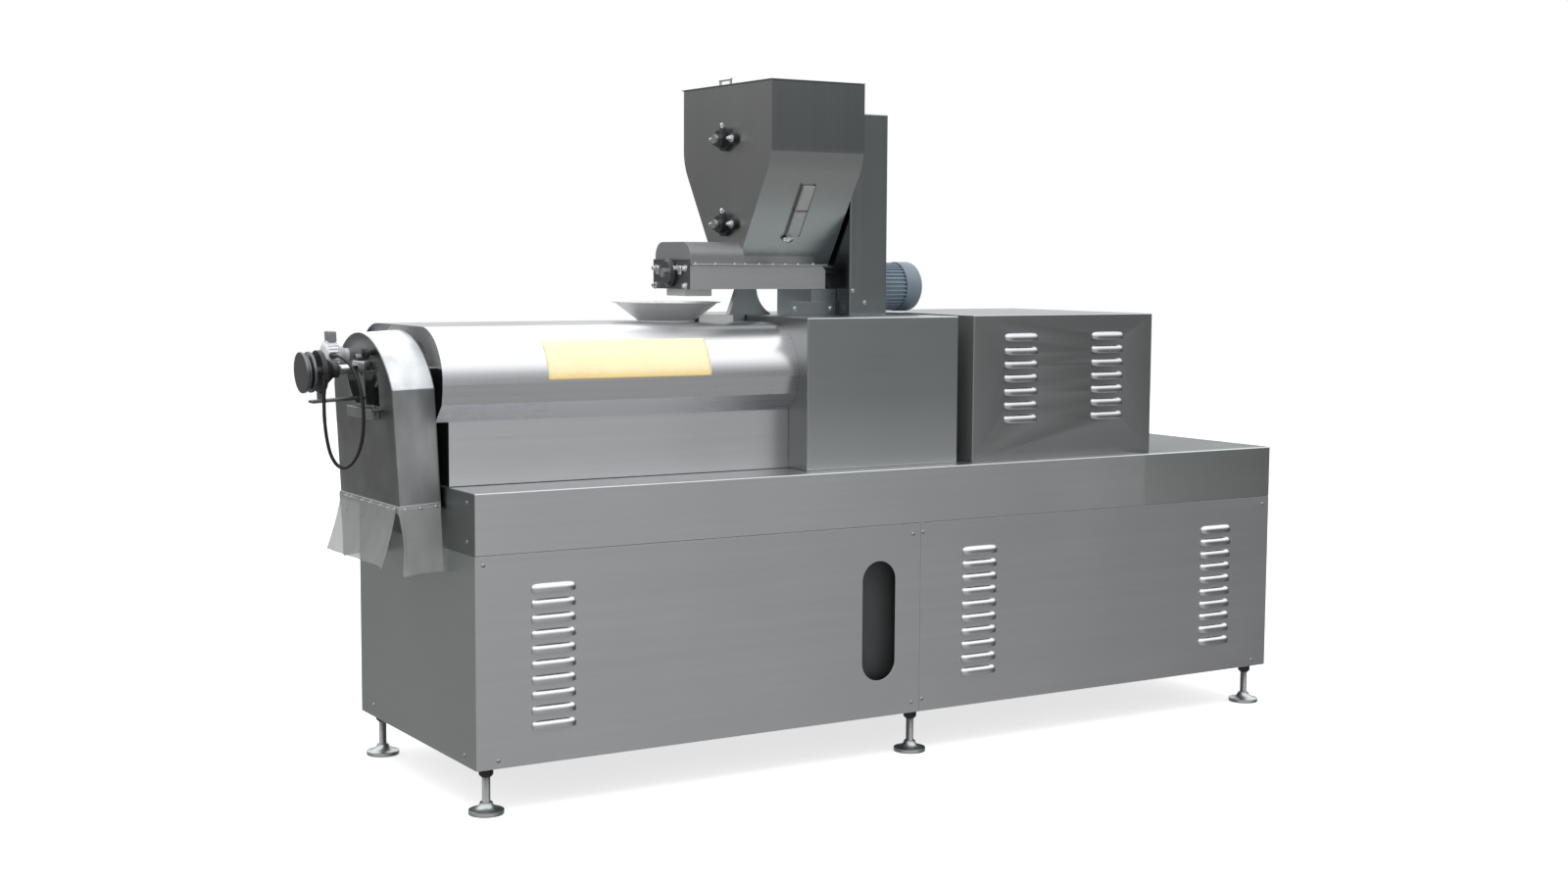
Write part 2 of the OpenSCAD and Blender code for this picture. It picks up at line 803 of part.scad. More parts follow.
// Half-round window about the spindle with one square corner, parted by a bar.
module window_outline() {
    difference() {
        union() {
            intersection() {
                translate([0, spindle_z]) circle(r = window_r);
                translate([0, window_z]) square([window_r + 1, window_top - window_z]);
            }
            translate([-window_y, window_z]) square([window_y, window_top - window_z]);
        }
        translate([-mullion, window_z - 1]) square([2 * mullion, window_top]);
    }
    translate([0, spindle_z]) circle(r = spindle_r + 7);
}

module hood_face() {
    color("darkgray") placed() leaned() hood_sheet(face_x, face_t) difference() {
        hood_outline(0);
        window_outline();
    }
}

module hood_wrapper() {
    l = hood_d - 2 * face_t;
    color("lightgray") placed() leaned() hood_sheet(face_x + face_t, l) difference() {
        hood_outline(0);
        hood_outline(sheet);
        translate([sheet - hood_half, -1]) square([2 * (hood_half - sheet), 2]);
    }
}

// Studs along X carry the hood on the barrel's end plate.
module stud_rods(extra) {
    for (s = [-1, 1]) translate([0, s * 150, barrel_axis]) x_rod(-62, end_plate_x, 6 + extra);
}

module hood_studs() {
    color("silver") placed() stud_rods(0);
}

module hood_back() {
    color("darkgray") placed() difference() {
        leaned() hood_sheet(-face_t, face_t) hood_outline(0);
        translate([0, 0, barrel_axis]) x_rod(-100, 20, die_r + 8);
        stud_rods(joint);
    }
}

module hood_flange() {
    h = 22;
    t = 3;
    color("silver") placed() leaned() {
        box([face_x - t, joint - hood_half, 0], [face_x, hood_half - joint, h]);
        both_sides() box([face_x - t, -hood_half - t, 0], [-2, -hood_half, h]);
    }
}

module hood_flaps() {
    t = 3;
    grip = 16;
    x = face_x - 3 - joint;
    y = hood_half + 3 + joint;
    color([0.8, 0.8, 0.8, 0.5]) placed() leaned() {
        translate([0, hood_half - 12, 0]) rotate([90, 0, 0]) linear_extrude(2 * hood_half - 24)
            polygon([
                [x, grip], [x - t, grip], [x - t, 0], [x - t - flap_swing, -flap_l],
                [x - flap_swing, -flap_l], [x, 0]
            ]);
        both_sides() box([face_x + 3, -y - t, -side_flap_l], [-14, -y, grip]);
    }
}

module window_ledge() {
    color("silver") placed() leaned()
        box([face_x - 22, -128, window_z - 37], [face_x, 80, window_z - 7]);
}

// ---- cutter drive --------------------------------------------------------

module cutter_bracket() {
    top = spindle_z - 80;
    color("dimgray") placed() leaned() {
        box([-279, -20, top - 8], [face_x, 20, top]);
        box([-254, -20, top], [-244, 20, spindle_z - 60 - joint]);
    }
}

module cutter_bearing() {
    color("#282828") placed() leaned() translate([0, 0, spindle_z]) difference() {
        union() {
            x_rod(bearing_x, bearing_x + bearing_flange_t, 60);
            translate([bearing_x + bearing_flange_t, 0, 0]) rotate([0, 90, 0])
                cylinder(h = 28, r1 = 48, r2 = 24);
            x_rod(bearing_x + bearing_flange_t, bearing_x + bearing_l, 22);
        }
        x_rod(bearing_x - 1, bearing_x + bearing_l + 1, spindle_r + shaft_gap);
    }
}

module cutter_wheel() {
    w = 30;
    color("dimgray") placed() leaned() translate([-wheel_reach, 0, spindle_z]) rotate([0, 90, 0])
        rotate_extrude() difference() {
            square([wheel_r, w]);
            translate([wheel_r + 1, w / 2]) polygon([[0, -8], [-12, -2.5], [-12, 2.5], [0, 8]]);
        }
}

module cutter_spindle() {
    color("silver") placed() leaned() translate([0, 0, spindle_z])
        x_rod(30 - wheel_reach, die_u - 24, spindle_r);
}

module cutter_knife() {
    x = die_u - 24;
    color("silver") placed() leaned() translate([x, 0, spindle_z]) {
        x_rod(0, 14, 30);
        for (a = [45, 135]) rotate([a, 0, 0]) box([4, -72, -14], [12, 72, 14]);
    }
}

module cutter_motor() {
    fins = 24;
    color("whitesmoke") placed() leaned() translate([face_x, motor_y, cut_motor_z]) {
        x_rod(-8, 0, 44);
        x_rod(-cut_motor_l, -8, cut_motor_r - 6);
        translate([10 - cut_motor_l, 0, 0]) rotate([0, 90, 0]) linear_extrude(cut_motor_l - 20)
            for (i = [0:fins - 1]) rotate((i + 0.5) * 360 / fins)
                translate([cut_motor_r - 8, -1]) square([8, 2]);
    }
}

module cutter_terminal_box() {
    r = cut_motor_r + joint;
    color("silver") placed() leaned()
        box([face_x - 60, motor_y - 28, cut_motor_z + r], [face_x - 12, motor_y + 28, cut_motor_z + r + 26]);
}

module cable_glands() {
    color("#181818") placed() {
        translate([-215, 44, 1264]) rotate([-90, 0, 0]) cylinder(h = 22, r = 9);
        translate([-284, -63, 1186]) cylinder(h = 20, r = 7);
        box([-289, -66, 1206], [-270, -50, 1216]);
    }
}

// Ring of points about a route point, in the plane across the route.
function unit(v) = v / norm(v);
function tangent(p, i) = unit(p[min(i + 1, len(p) - 1)] - p[max(i - 1, 0)]);
function side(t) = unit(cross(t, abs(t.x) < 0.9 ? [1, 0, 0] : [0, 1, 0]));
function ring(p, i, r, n) =
    let (t = tangent(p, i), a = side(t), b = cross(t, a))
    [for (k = [0:n - 1]) p[i] + r * (cos(360 * k / n) * a + sin(360 * k / n) * b)];

module swept_tube(p, r, n) {
    m = len(p);
    points = [for (i = [0:m - 1]) each ring(p, i, r, n)];
    sides = [for (i = [0:m - 2], k = [0:n - 1])
        [i * n + k, i * n + (k + 1) % n, (i + 1) * n + (k + 1) % n, (i + 1) * n + k]];
    first = [[for (k = [n - 1:-1:0]) k]];
    last = [[for (k = [0:n - 1]) (m - 1) * n + k]];
    polyhedron(points, concat(sides, first, last), convexity = 6);
}

module cutter_cable() {
    color("#101010") placed() swept_tube(cable_route, cable_d / 2, 10);
}

long_rails();
cross_rails();
frame_posts();
foot_pads();
foot_stems();
panel_front_left();
panel_front_right();
panel_back_left();
panel_back_right();
panel_end_left();
panel_end_right();
deck_left();
deck_right();
barrel_cover();
barrel_skirts();
barrel_end_plate();
barrel_support();
die_head();
gearbox_cover();
motor_cover();
coupling_guard();
feed_funnel();
feeder_trough();
feeder_cover();
feeder_end_plate();
feeder_spout();
feeder_pedestal();
feeder_stand();
feed_screw();
hopper();
hopper_lid();
lid_handle();
lid_hinge();
sight_strip();
agitator_bearings();
agitator_upper();
agitator_lower();
drive_tower();
feeder_motor();
feeder_fan_cover();
hood_face();
hood_wrapper();
hood_back();
hood_flange();
hood_studs();
hood_flaps();
window_ledge();
cutter_bracket();
cutter_bearing();
cutter_wheel();
cutter_spindle();
cutter_knife();
cutter_motor();
cutter_terminal_box();
cable_glands();
cutter_cable();
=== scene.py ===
import json
import math

import bmesh
import bpy
import numpy as np
from mathutils import Matrix, Vector

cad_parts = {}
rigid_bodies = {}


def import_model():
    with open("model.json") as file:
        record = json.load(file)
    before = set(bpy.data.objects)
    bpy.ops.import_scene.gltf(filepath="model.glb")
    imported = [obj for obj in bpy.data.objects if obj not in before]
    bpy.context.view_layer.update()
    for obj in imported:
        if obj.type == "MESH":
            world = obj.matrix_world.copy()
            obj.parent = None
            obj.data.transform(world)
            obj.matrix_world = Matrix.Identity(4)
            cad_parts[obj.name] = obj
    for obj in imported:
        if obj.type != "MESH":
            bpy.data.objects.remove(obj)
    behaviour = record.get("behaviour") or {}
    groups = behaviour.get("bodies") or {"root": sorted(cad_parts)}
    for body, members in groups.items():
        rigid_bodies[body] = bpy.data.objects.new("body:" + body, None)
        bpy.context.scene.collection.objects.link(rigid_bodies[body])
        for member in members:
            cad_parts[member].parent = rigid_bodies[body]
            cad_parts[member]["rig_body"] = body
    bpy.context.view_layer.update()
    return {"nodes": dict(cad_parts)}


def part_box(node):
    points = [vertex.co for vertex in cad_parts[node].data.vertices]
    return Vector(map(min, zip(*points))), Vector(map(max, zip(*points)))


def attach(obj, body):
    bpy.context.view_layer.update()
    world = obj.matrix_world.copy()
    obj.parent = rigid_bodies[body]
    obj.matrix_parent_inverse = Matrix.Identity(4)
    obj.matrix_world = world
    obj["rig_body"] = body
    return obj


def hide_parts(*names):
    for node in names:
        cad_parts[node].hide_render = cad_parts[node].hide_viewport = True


# A snack food extruder in satin stainless steel. The CAD frame gives every size and place;
# this script adds the camera, the finishes, the soft pieces and the small hardware.
# Sizes are in millimetres from the cabinet's cutter end unless a line says otherwise.

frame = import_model()
nodes = frame["nodes"]
perMetre = 1000
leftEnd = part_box("deck_left")[0][0] * perMetre
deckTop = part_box("deck_left")[1][2] * perMetre
toRight, toBack, toTop = (1, 0, 0), (0, 1, 0), (0, 0, 1)
toLeft, toFront, toFloor = (-1, 0, 0), (0, -1, 0), (0, 0, -1)
print("frame loaded:", len(nodes), "nodes")

scene = bpy.context.scene
scene.view_settings.view_transform = "Standard"

# place and near limit in metres, turns in degrees
cameraSettings = {"place": (-3.5075, -5.5478, 1.5403), "yaw": 31.864, "down": 5.065, "roll": 0.331,
                  "lens": 46.585, "sensor": 36, "near": 0.05}


def makeCamera(s):
    data = bpy.data.cameras.new("camera")
    data.sensor_width = s["sensor"]
    data.lens = s["lens"]
    data.clip_start = s["near"]
    camera = bpy.data.objects.new("camera", data)
    turn = (Matrix.Rotation(math.radians(-s["yaw"]), 4, "Z")
            @ Matrix.Rotation(math.radians(90 - s["down"]), 4, "X")
            @ Matrix.Rotation(math.radians(s["roll"]), 4, "Z"))
    camera.matrix_world = Matrix.Translation(s["place"]) @ turn
    scene.collection.objects.link(camera)
    scene.camera = camera


makeCamera(cameraSettings)


def toFrame(points):
    # millimetres from the cabinet's cutter end to metres in the frame
    p = np.asarray(points, float)
    return (p + np.array([leftEnd, 0, 0])) / perMetre


# where the hood's own frame starts, how far it leans in degrees, and the spindle's height in it
hood = {"x": -6.5, "drop": 66.0, "lean": 2.9, "spindle": 397.21}
hoodZ = deckTop - hood["drop"]
leanCos = math.cos(math.radians(hood["lean"]))
leanSin = math.sin(math.radians(hood["lean"]))
faceOut = (-leanCos, 0.0, -leanSin)  # out of the hood's face


def leaned(u, y, w):
    # the hood's frame to the machine's: x = hoodX + u cos a - w sin a, z = hoodZ + u sin a + w cos a
    u, y, w = np.broadcast_arrays(np.asarray(u, float), np.asarray(y, float), np.asarray(w, float))
    return np.stack([hood["x"] + u * leanCos - w * leanSin, y, hoodZ + u * leanSin + w * leanCos], -1)


mergeWithin = 1e-6  # metres


def addPiece(name, surfaces, material, replaces=(), smooth=40, closed=True):
    # Joins grids into one mesh. Each surface is (points, closeRows, closeCols): point (i, j) is joined to
    # (i+1, j) and (i, j+1), and the last row or column to the first where it closes.
    # Closed shapes are merged and turned outwards; open sheets already face the right way.
    coords, quads, start = [], [], 0
    for points, closeRows, closeCols in surfaces:
        rows, cols = points.shape[:2]
        index = start + np.arange(rows * cols).reshape(rows, cols)
        i = np.arange(rows if closeRows else rows - 1)
        j = np.arange(cols if closeCols else cols - 1)
        i2, j2 = (i + 1) % rows, (j + 1) % cols
        quads.append(np.stack([index[np.ix_(i, j)], index[np.ix_(i2, j)], index[np.ix_(i2, j2)],
                               index[np.ix_(i, j2)]], -1).reshape(-1, 4))
        coords.append(toFrame(points).reshape(-1, 3))
        start += rows * cols
    coords, quads = np.concatenate(coords), np.concatenate(quads)
    mesh = bpy.data.meshes.new(name)
    mesh.vertices.add(len(coords))
    mesh.vertices.foreach_set("co", coords.ravel())
    mesh.loops.add(quads.size)
    mesh.loops.foreach_set("vertex_index", quads.ravel())
    mesh.polygons.add(len(quads))
    mesh.polygons.foreach_set("loop_start", np.arange(len(quads)) * 4)
    mesh.update(calc_edges=True)
    work = bmesh.new()
    work.from_mesh(mesh)
    if closed:
        bmesh.ops.remove_doubles(work, verts=work.verts, dist=mergeWithin)
        bmesh.ops.dissolve_degenerate(work, edges=work.edges, dist=mergeWithin)
        bmesh.ops.recalc_face_normals(work, faces=work.faces)
    work.to_mesh(mesh)
    work.free()
    return finishPiece(name, mesh, "machine", material, replaces, smooth)


def finishPiece(name, mesh, body, material, replaces, smooth):
    mesh.shade_smooth()
    mesh.set_sharp_from_angle(angle=math.radians(smooth))
    piece = bpy.data.objects.new(name, mesh)
    scene.collection.objects.link(piece)
    mesh.materials.append(material)
    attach(piece, body)
    if replaces:
        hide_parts(*replaces)
    return piece


def node(tree, kind, where=(0, 0), **values):
    n = tree.nodes.new(kind)
    n.location = where
    for key, value in values.items():
        setattr(n, key, value)
    return n


def feed(tree, value, socket):  # a plain number stays on the socket itself
    if isinstance(value, (int, float)):
        socket.default_value = value
    else:
        tree.links.new(value, socket)


def math2(tree, operation, a, b=0.0, clamp=False):
    n = node(tree, "ShaderNodeMath", operation=operation, use_clamp=clamp)
    feed(tree, a, n.inputs[0])
    feed(tree, b, n.inputs[1])
    return n.outputs[0]


def add(tree, a, b, clamp=False):
    return math2(tree, "ADD", a, b, clamp)


def times(tree, a, b):
    return math2(tree, "MULTIPLY", a, b)


def mapRange(tree, value, low, high, first=0.0, last=1.0, shape="LINEAR"):
    n = node(tree, "ShaderNodeMapRange", interpolation_type=shape)
    for label, number in zip(("From Min", "From Max", "To Min", "To Max"), (low, high, first, last)):
        n.inputs[label].default_value = number
    tree.links.new(value, n.inputs["Value"])
    return n.outputs[0]


def noise(tree, place, scale, detail):
    n = node(tree, "ShaderNodeTexNoise")
    feed(tree, scale, n.inputs["Scale"])
    n.inputs["Detail"].default_value = detail
    tree.links.new(place, n.inputs["Vector"])
    return n.outputs["Fac"]


def centred(tree, value):  # noise runs from 0 to 1, about 0.5
    return math2(tree, "SUBTRACT", value, 0.5)


def tint(tree, given, result, tone):
    # the given colour times 1 + tone
    scale = node(tree, "ShaderNodeVectorMath", operation="SCALE")
    tree.links.new(given["Color"], scale.inputs[0])
    tree.links.new(add(tree, tone, 1), scale.inputs["Scale"])
    tree.links.new(scale.outputs[0], result["Color"])


def newGroup(name, *inputs):
    # every effect takes a place and puts out a colour, a roughness and a height
    kinds = {"Vector": "Vector", "Stretch": "Vector", "Color": "Color"}
    group = bpy.data.node_groups.new(name, "ShaderNodeTree")
    for way, labels in (("INPUT", ("Vector", *inputs)), ("OUTPUT", ("Color", "Roughness", "Height"))):
        for label in labels:
            kind = "NodeSocket" + kinds.get(label, "Float")
            group.interface.new_socket(name=label, in_out=way, socket_type=kind)
    return group, group.nodes.new("NodeGroupInput").outputs, group.nodes.new("NodeGroupOutput").inputs


# noises are (scale, detail); shares and gains say how much each adds
brushing = {"fine": (900, 2), "wide": (70, 3), "cloudDetail": 3, "fineShare": 0.8, "gain": 2, "lineSheen": 0.05}
pitting = {"pitDetail": 3, "drift": (14, 4), "driftShare": 1.6, "gain": 2}
weaving = {"smudge": (9, 5), "stretch": (1, 1, 0.35), "smudgeSheen": 0.3}


def makeBrushedGroup(s):
    # Brushing: lines = 0.8 fine + wide noise, both drawn out along the grain, and slow clouds.
    # The colour is times 1 + 2 (lines * streaks + cloud * clouds), and the clouds break up the sheen.
    group, given, result = newGroup("brushedGrain", "Stretch", "Color", "Streaks", "Clouds", "Cloud Scale",
                                    "Roughness", "Sheen Change")
    link = group.links.new
    along = node(group, "ShaderNodeVectorMath", operation="MULTIPLY")
    link(given["Vector"], along.inputs[0])
    link(given["Stretch"], along.inputs[1])
    fine = centred(group, noise(group, along.outputs[0], *s["fine"]))
    wide = centred(group, noise(group, along.outputs[0], *s["wide"]))
    cloud = centred(group, noise(group, given["Vector"], given["Cloud Scale"], s["cloudDetail"]))
    lines = add(group, times(group, fine, s["fineShare"]), wide)
    tone = add(group, times(group, lines, given["Streaks"]), times(group, cloud, given["Clouds"]))
    tint(group, given, result, times(group, tone, s["gain"]))
    rough = add(group, times(group, cloud, given["Sheen Change"]), times(group, lines, s["lineSheen"]))
    link(add(group, rough, given["Roughness"], clamp=True), result["Roughness"])
    link(lines, result["Height"])
    return group


def makeSkinGroup(s):
    # Cast or painted skin: the colour is times 1 + 2 (pit + 1.6 drift) * mottle, and the drift changes the sheen.
    group, given, result = newGroup("castSkin", "Scale", "Color", "Mottle", "Roughness", "Sheen Change")
    link = group.links.new
    pits = noise(group, given["Vector"], given["Scale"], s["pitDetail"])
    pit = centred(group, pits)
    drift = centred(group, noise(group, given["Vector"], *s["drift"]))
    tone = times(group, add(group, pit, times(group, drift, s["driftShare"])), given["Mottle"])
    tint(group, given, result, times(group, tone, s["gain"]))
    rough = add(group, times(group, drift, given["Sheen Change"]), given["Roughness"], clamp=True)
    link(rough, result["Roughness"])
    link(pits, result["Height"])
    return group


def makeWovenGroup(s):
    # Fine punched sheet: rows of small dimples, sin(k x) sin(k (y + z)), over slow smudges.
    group, given, result = newGroup("wovenSheet", "Pitch", "Color", "Depth", "Smudge", "Roughness")
    link = group.links.new
    split = node(group, "ShaderNodeSeparateXYZ")
    link(given["Vector"], split.inputs[0])
    wave = math2(group, "DIVIDE", 2 * math.pi, given["Pitch"])
    across = math2(group, "SINE", times(group, split.outputs["X"], wave))
    around = math2(group, "SINE", times(group, add(group, split.outputs["Y"], split.outputs["Z"]), wave))
    dimple = times(group, across, around)
    streak = node(group, "ShaderNodeVectorMath", operation="MULTIPLY")
    streak.inputs[1].default_value = s["stretch"]
    link(given["Vector"], streak.inputs[0])
    drift = centred(group, noise(group, streak.outputs[0], *s["smudge"]))
    tint(group, given, result, add(group, times(group, dimple, given["Depth"]), times(group, drift, given["Smudge"])))
    rough = add(group, times(group, drift, s["smudgeSheen"]), given["Roughness"], clamp=True)
    link(rough, result["Roughness"])
    link(dimple, result["Height"])
    return group


brushedGroup = makeBrushedGroup(brushing)
skinGroup = makeSkinGroup(pitting)
wovenGroup = makeWovenGroup(weaving)


def linear(rgb):
    # levels of 255 to linear light, by the sRGB curve
    c = np.array(rgb, float) / 255
    return tuple(np.where(c <= 0.04045, c / 12.92, ((c + 0.055) / 1.055) ** 2.4)) + (1.0,)


def startMaterial(name, group, values, metallic, bump):
    # bump is (strength, distance in metres)
    material = bpy.data.materials.new(name)
    material.use_nodes = True
    tree = material.node_tree
    shader = tree.nodes["Principled BSDF"]
    shader.inputs["Metallic"].default_value = metallic
    place = node(tree, "ShaderNodeTexCoord", (-900, 0))
    mapping = node(tree, "ShaderNodeMapping", (-700, 0))
    effect = node(tree, "ShaderNodeGroup", (-450, 0))
    effect.node_tree = group
    for key, value in values.items():
        effect.inputs[key].default_value = value
    height = node(tree, "ShaderNodeBump", (-200, -200))
    height.inputs["Strength"].default_value, height.inputs["Distance"].default_value = bump
    link = tree.links.new
    link(place.outputs["Object"], mapping.inputs["Vector"])
    link(mapping.outputs["Vector"], effect.inputs["Vector"])
    link(effect.outputs["Color"], shader.inputs["Base Color"])
    link(effect.outputs["Roughness"], shader.inputs["Roughness"])
    link(effect.outputs["Height"], height.inputs["Height"])
    link(height.outputs["Normal"], shader.inputs["Normal"])
    return material


# how a brushed grain is drawn out along its own direction
grain = {"x": (0.012, 1, 1), "y": (1, 0.012, 1), "z": (1, 1, 0.012), "none": (1, 1, 1)}
brushedBump = (0.12, 0.0003)


def brushed(name, rgb, along="x", roughness=0.36, streaks=0.05, clouds=0.05, change=0.08, metallic=1.0,
            cloudScale=2.2):
    values = {"Color": linear(rgb), "Stretch": grain[along], "Roughness": roughness, "Streaks": streaks,
              "Clouds": clouds, "Cloud Scale": cloudScale, "Sheen Change": change}
    return startMaterial(name, brushedGroup, values, metallic, brushedBump)


def skin(name, rgb, roughness=0.5, metallic=0.0, scale=300, mottle=0.1, change=0.15, bump=(0.3, 0.0006)):
    values = {"Color": linear(rgb), "Scale": scale, "Mottle": mottle, "Roughness": roughness,
              "Sheen Change": change}
    return startMaterial(name, skinGroup, values, metallic, bump)


panelSteel = brushed("panelSteel", (212, 213, 215), "x")
endSteel = brushed("endSteel", (180, 186, 184), "y", clouds=0.08)
motorCoverSteel = brushed("motorCoverSteel", (168, 171, 172), "x", 0.3, streaks=0.014)
barrelSteel = brushed("barrelSteel", (206, 207, 210), "x", 0.28, streaks=0.06)
skirtSteel = brushed("skirtSteel", (222, 224, 226), "x", 0.34)
lidSteel = brushed("lidSteel", (112, 118, 119), "y", 0.3, streaks=0.03)
standSteel = brushed("standSteel", (150, 156, 159), "z", 0.36)
feederSteel = brushed("feederSteel", (196, 198, 199), "x", 0.34)
feederCoverSteel = brushed("feederCoverSteel", (150, 152, 154), "x", 0.6)
spoutSteel = brushed("spoutSteel", (212, 215, 214), "z", 0.4)
funnelSteel = brushed("funnelSteel", (214, 215, 214), "none", 0.5)
hoodSteel = brushed("hoodSteel", (137, 140, 138), "z", 0.36, streaks=0.10, clouds=0.7, change=0.3, cloudScale=6)
flangeSteel = brushed("flangeSteel", (206, 208, 209), "y", 0.4, streaks=0.12, clouds=0.12)
ledgeSteel = brushed("ledgeSteel", (158, 160, 160), "y", 0.36, streaks=0.08, clouds=0.3, cloudScale=8)
brightSteel = brushed("brightSteel", (212, 213, 214), "x", 0.26, streaks=0.04)
louvreSteel = brushed("louvreSteel", (204, 205, 207), "x", 0.26, streaks=0.03)
coverLouvreSteel = brushed("coverLouvreSteel", (190, 193, 195), "x", 0.26, streaks=0.03)
screwSteel = brushed("screwSteel", (156, 158, 160), "none", 0.35, streaks=0.02)
boltSteel = brushed("boltSteel", (206, 208, 210), "none", 0.22, streaks=0.02)
footSteel = brushed("footSteel", (184, 188, 188), "none", 0.42, streaks=0.02)
stemSteel = brushed("stemSteel", (168, 169, 170), "none", 0.45, streaks=0.03)
turnedSteel = brushed("turnedSteel", (205, 206, 208), "none", 0.2, streaks=0.03)
darkSteel = brushed("darkSteel", (110, 112, 115), "none", 0.34, streaks=0.05)
frameSteel = skin("frameSteel", (92, 94, 96), 0.45, 0.6)
linerSteel = skin("linerSteel", (66, 68, 69), 0.6, 0.0, 200, 0.08)
castBlack = skin("castBlack", (30, 31, 33), 0.42, 0.0, 420, 0.2)
motorPaint = skin("motorPaint", (134, 150, 162), 0.42)
fanPaint = skin("fanPaint", (116, 128, 140), 0.48)
silverPaint = skin("silverPaint", (230, 232, 236), 0.34, 0.0, mottle=0.06)
boxAlloy = skin("boxAlloy", (132, 134, 137), 0.4, 0.15)
blackPlastic = skin("blackPlastic", (20, 20, 21), 0.45)
cableRubber = skin("cableRubber", (16, 16, 17), 0.38, 0.0, 500, 0.1)
stripClear = skin("stripClear", (150, 153, 150), 0.2, 0.0, 60, 0.05)


def paintedShading(material, s):
    # Another colour before a place along an axis, in metres; what was there stays after it. Every use paints light or
    # shade into the colour.
    tree = material.node_tree
    effect = next(n for n in tree.nodes if n.type == "GROUP")
    mapping = next(n for n in tree.nodes if n.type == "MAPPING")
    split = node(tree, "ShaderNodeSeparateXYZ", (-900, -300))
    tree.links.new(mapping.outputs["Vector"], split.inputs[0])
    place = split.outputs[s["axis"]]
    if s.get("both"):  # the same on both sides of the middle
        place = math2(tree, "ABSOLUTE", place)
    mix = node(tree, "ShaderNodeMix", (-550, -300), data_type="RGBA")
    mix.inputs["A"].default_value = linear(s["before"])
    colour = effect.inputs["Color"]
    mix.inputs["B"].default_value = colour.default_value
    for earlier in colour.links:
        tree.links.new(earlier.from_socket, mix.inputs["B"])
    tree.links.new(mapRange(tree, place, s["at"] - s["blur"], s["at"] + s["blur"]), mix.inputs["Factor"])
    tree.links.new(mix.outputs["Result"], colour)
    return material


endShadeBand = {"wide": 0.002, "blur": 0.001}  # metres


def paintedEndShade(material, end, rgb):
    # painted shade: a cover's left end is darker than its sides
    paintedShading(material, {"axis": "X", "at": end + endShadeBand["wide"], "blur": endShadeBand["blur"], "before": rgb})


# painted shade: the label darkens a little towards its lower edge
labelYellow = paintedShading(skin("labelYellow", (250, 237, 192), 0.45, 0.0, 40, 0.05, 0.1, (0.05, 0.0002)),
                      {"axis": "Z", "at": 1.214, "blur": 0.014, "before": (238, 206, 132)})
# painted shade: the hopper's upright sides are darker than its slopes and ends
hopperSteel = paintedShading(brushed("hopperSteel", (130, 134, 135), "z", 0.3, streaks=0.03),
                      {"axis": "Y", "both": True, "at": 0.2722, "blur": 0.0004, "before": (160, 162, 161)})
towerSteel = brushed("towerSteel", (158, 165, 167), "z", 0.24, streaks=0.03)
# painted shade on the tower's left end
paintedEndShade(towerSteel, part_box("drive_tower")[0][0], (104, 109, 114))
# painted reflection: the gearbox cover is lighter low down, and its left end is darker with painted shade
gearSteel = paintedShading(brushed("gearSteel", (172, 178, 180), "x", 0.3, streaks=0.018),
                    {"axis": "Z", "at": 1.02, "blur": 0.11, "before": (204, 208, 208)})
paintedEndShade(gearSteel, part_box("gearbox_cover")[0][0], (142, 144, 144))
# painted shadow: the barrel's end plate is bright above a joint line and dark below it, where the hood's shadow falls
endPlateSteel = paintedShading(brushed("endPlateSteel", (240, 242, 242), "z", 0.45, metallic=0.1),
                        {"axis": "Z", "at": 1.231, "blur": 0.002, "before": (48, 49, 50)})
# painted shade: the motor cover's end sheet is darker than the covers' steel, for the gap it stands in
coverEndShadedSteel = brushed("coverEndShadedSteel", (100, 102, 102), "z", 0.5, metallic=0.2)
# painted shade: the deck's top is darker than its side bands, and its cutter end darker still
topBand = 0.0025  # metres below the deck's top, past its rounded edge
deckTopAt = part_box("deck_left")[1][2] - topBand
deckLeftSteel = paintedShading(brushed("deckLeftSteel", (184, 185, 187), "x"),
                        {"axis": "Z", "at": deckTopAt, "blur": 0.001, "before": (216, 217, 219)})
paintedEndShade(deckLeftSteel, leftEnd / perMetre, (136, 140, 139))
deckRightSteel = paintedShading(brushed("deckRightSteel", (180, 187, 190), "x", 0.2, streaks=0.03),
                         {"axis": "Z", "at": deckTopAt, "blur": 0.001, "before": (206, 212, 209)})

# painted light: above the line where the arch meets its straight sides the wrapper is paler; it is also less of a
# mirror there
wrapper = {"finish": {"Color": linear((224, 228, 231)), "Pitch": 0.006, "Depth": 0.12, "Smudge": 1.9,
                      "Roughness": 0.4}, "bump": (0.25, 0.0004), "lessMetallic": 0.8,
           "tones": {"axis": "Z", "at": 1.181, "blur": 0.003, "before": (172, 174, 176)}}


def makeWrapperSteel(s):
    material = paintedShading(startMaterial("wrapperSteel", wovenGroup, s["finish"], 1.0, s["bump"]), s["tones"])
    tree = material.node_tree
    paler = next(n for n in tree.nodes if n.type == "MAP_RANGE").outputs[0]
    metallic = math2(tree, "SUBTRACT", 1.0, times(tree, paler, s["lessMetallic"]))
    tree.links.new(metallic, tree.nodes["Principled BSDF"].inputs["Metallic"])
    return material


wrapperSteel = makeWrapperSteel(wrapper)


def makeFlapMaterial():
    material = skin("flapPvc", (170, 173, 171), 0.3, 0.0, 30, 0.08)
    shader = material.node_tree.nodes["Principled BSDF"]
    shader.inputs["Alpha"].default_value = 0.55
    shader.inputs["Specular IOR Level"].default_value = 0.6
    return material


flapPvc = makeFlapMaterial()

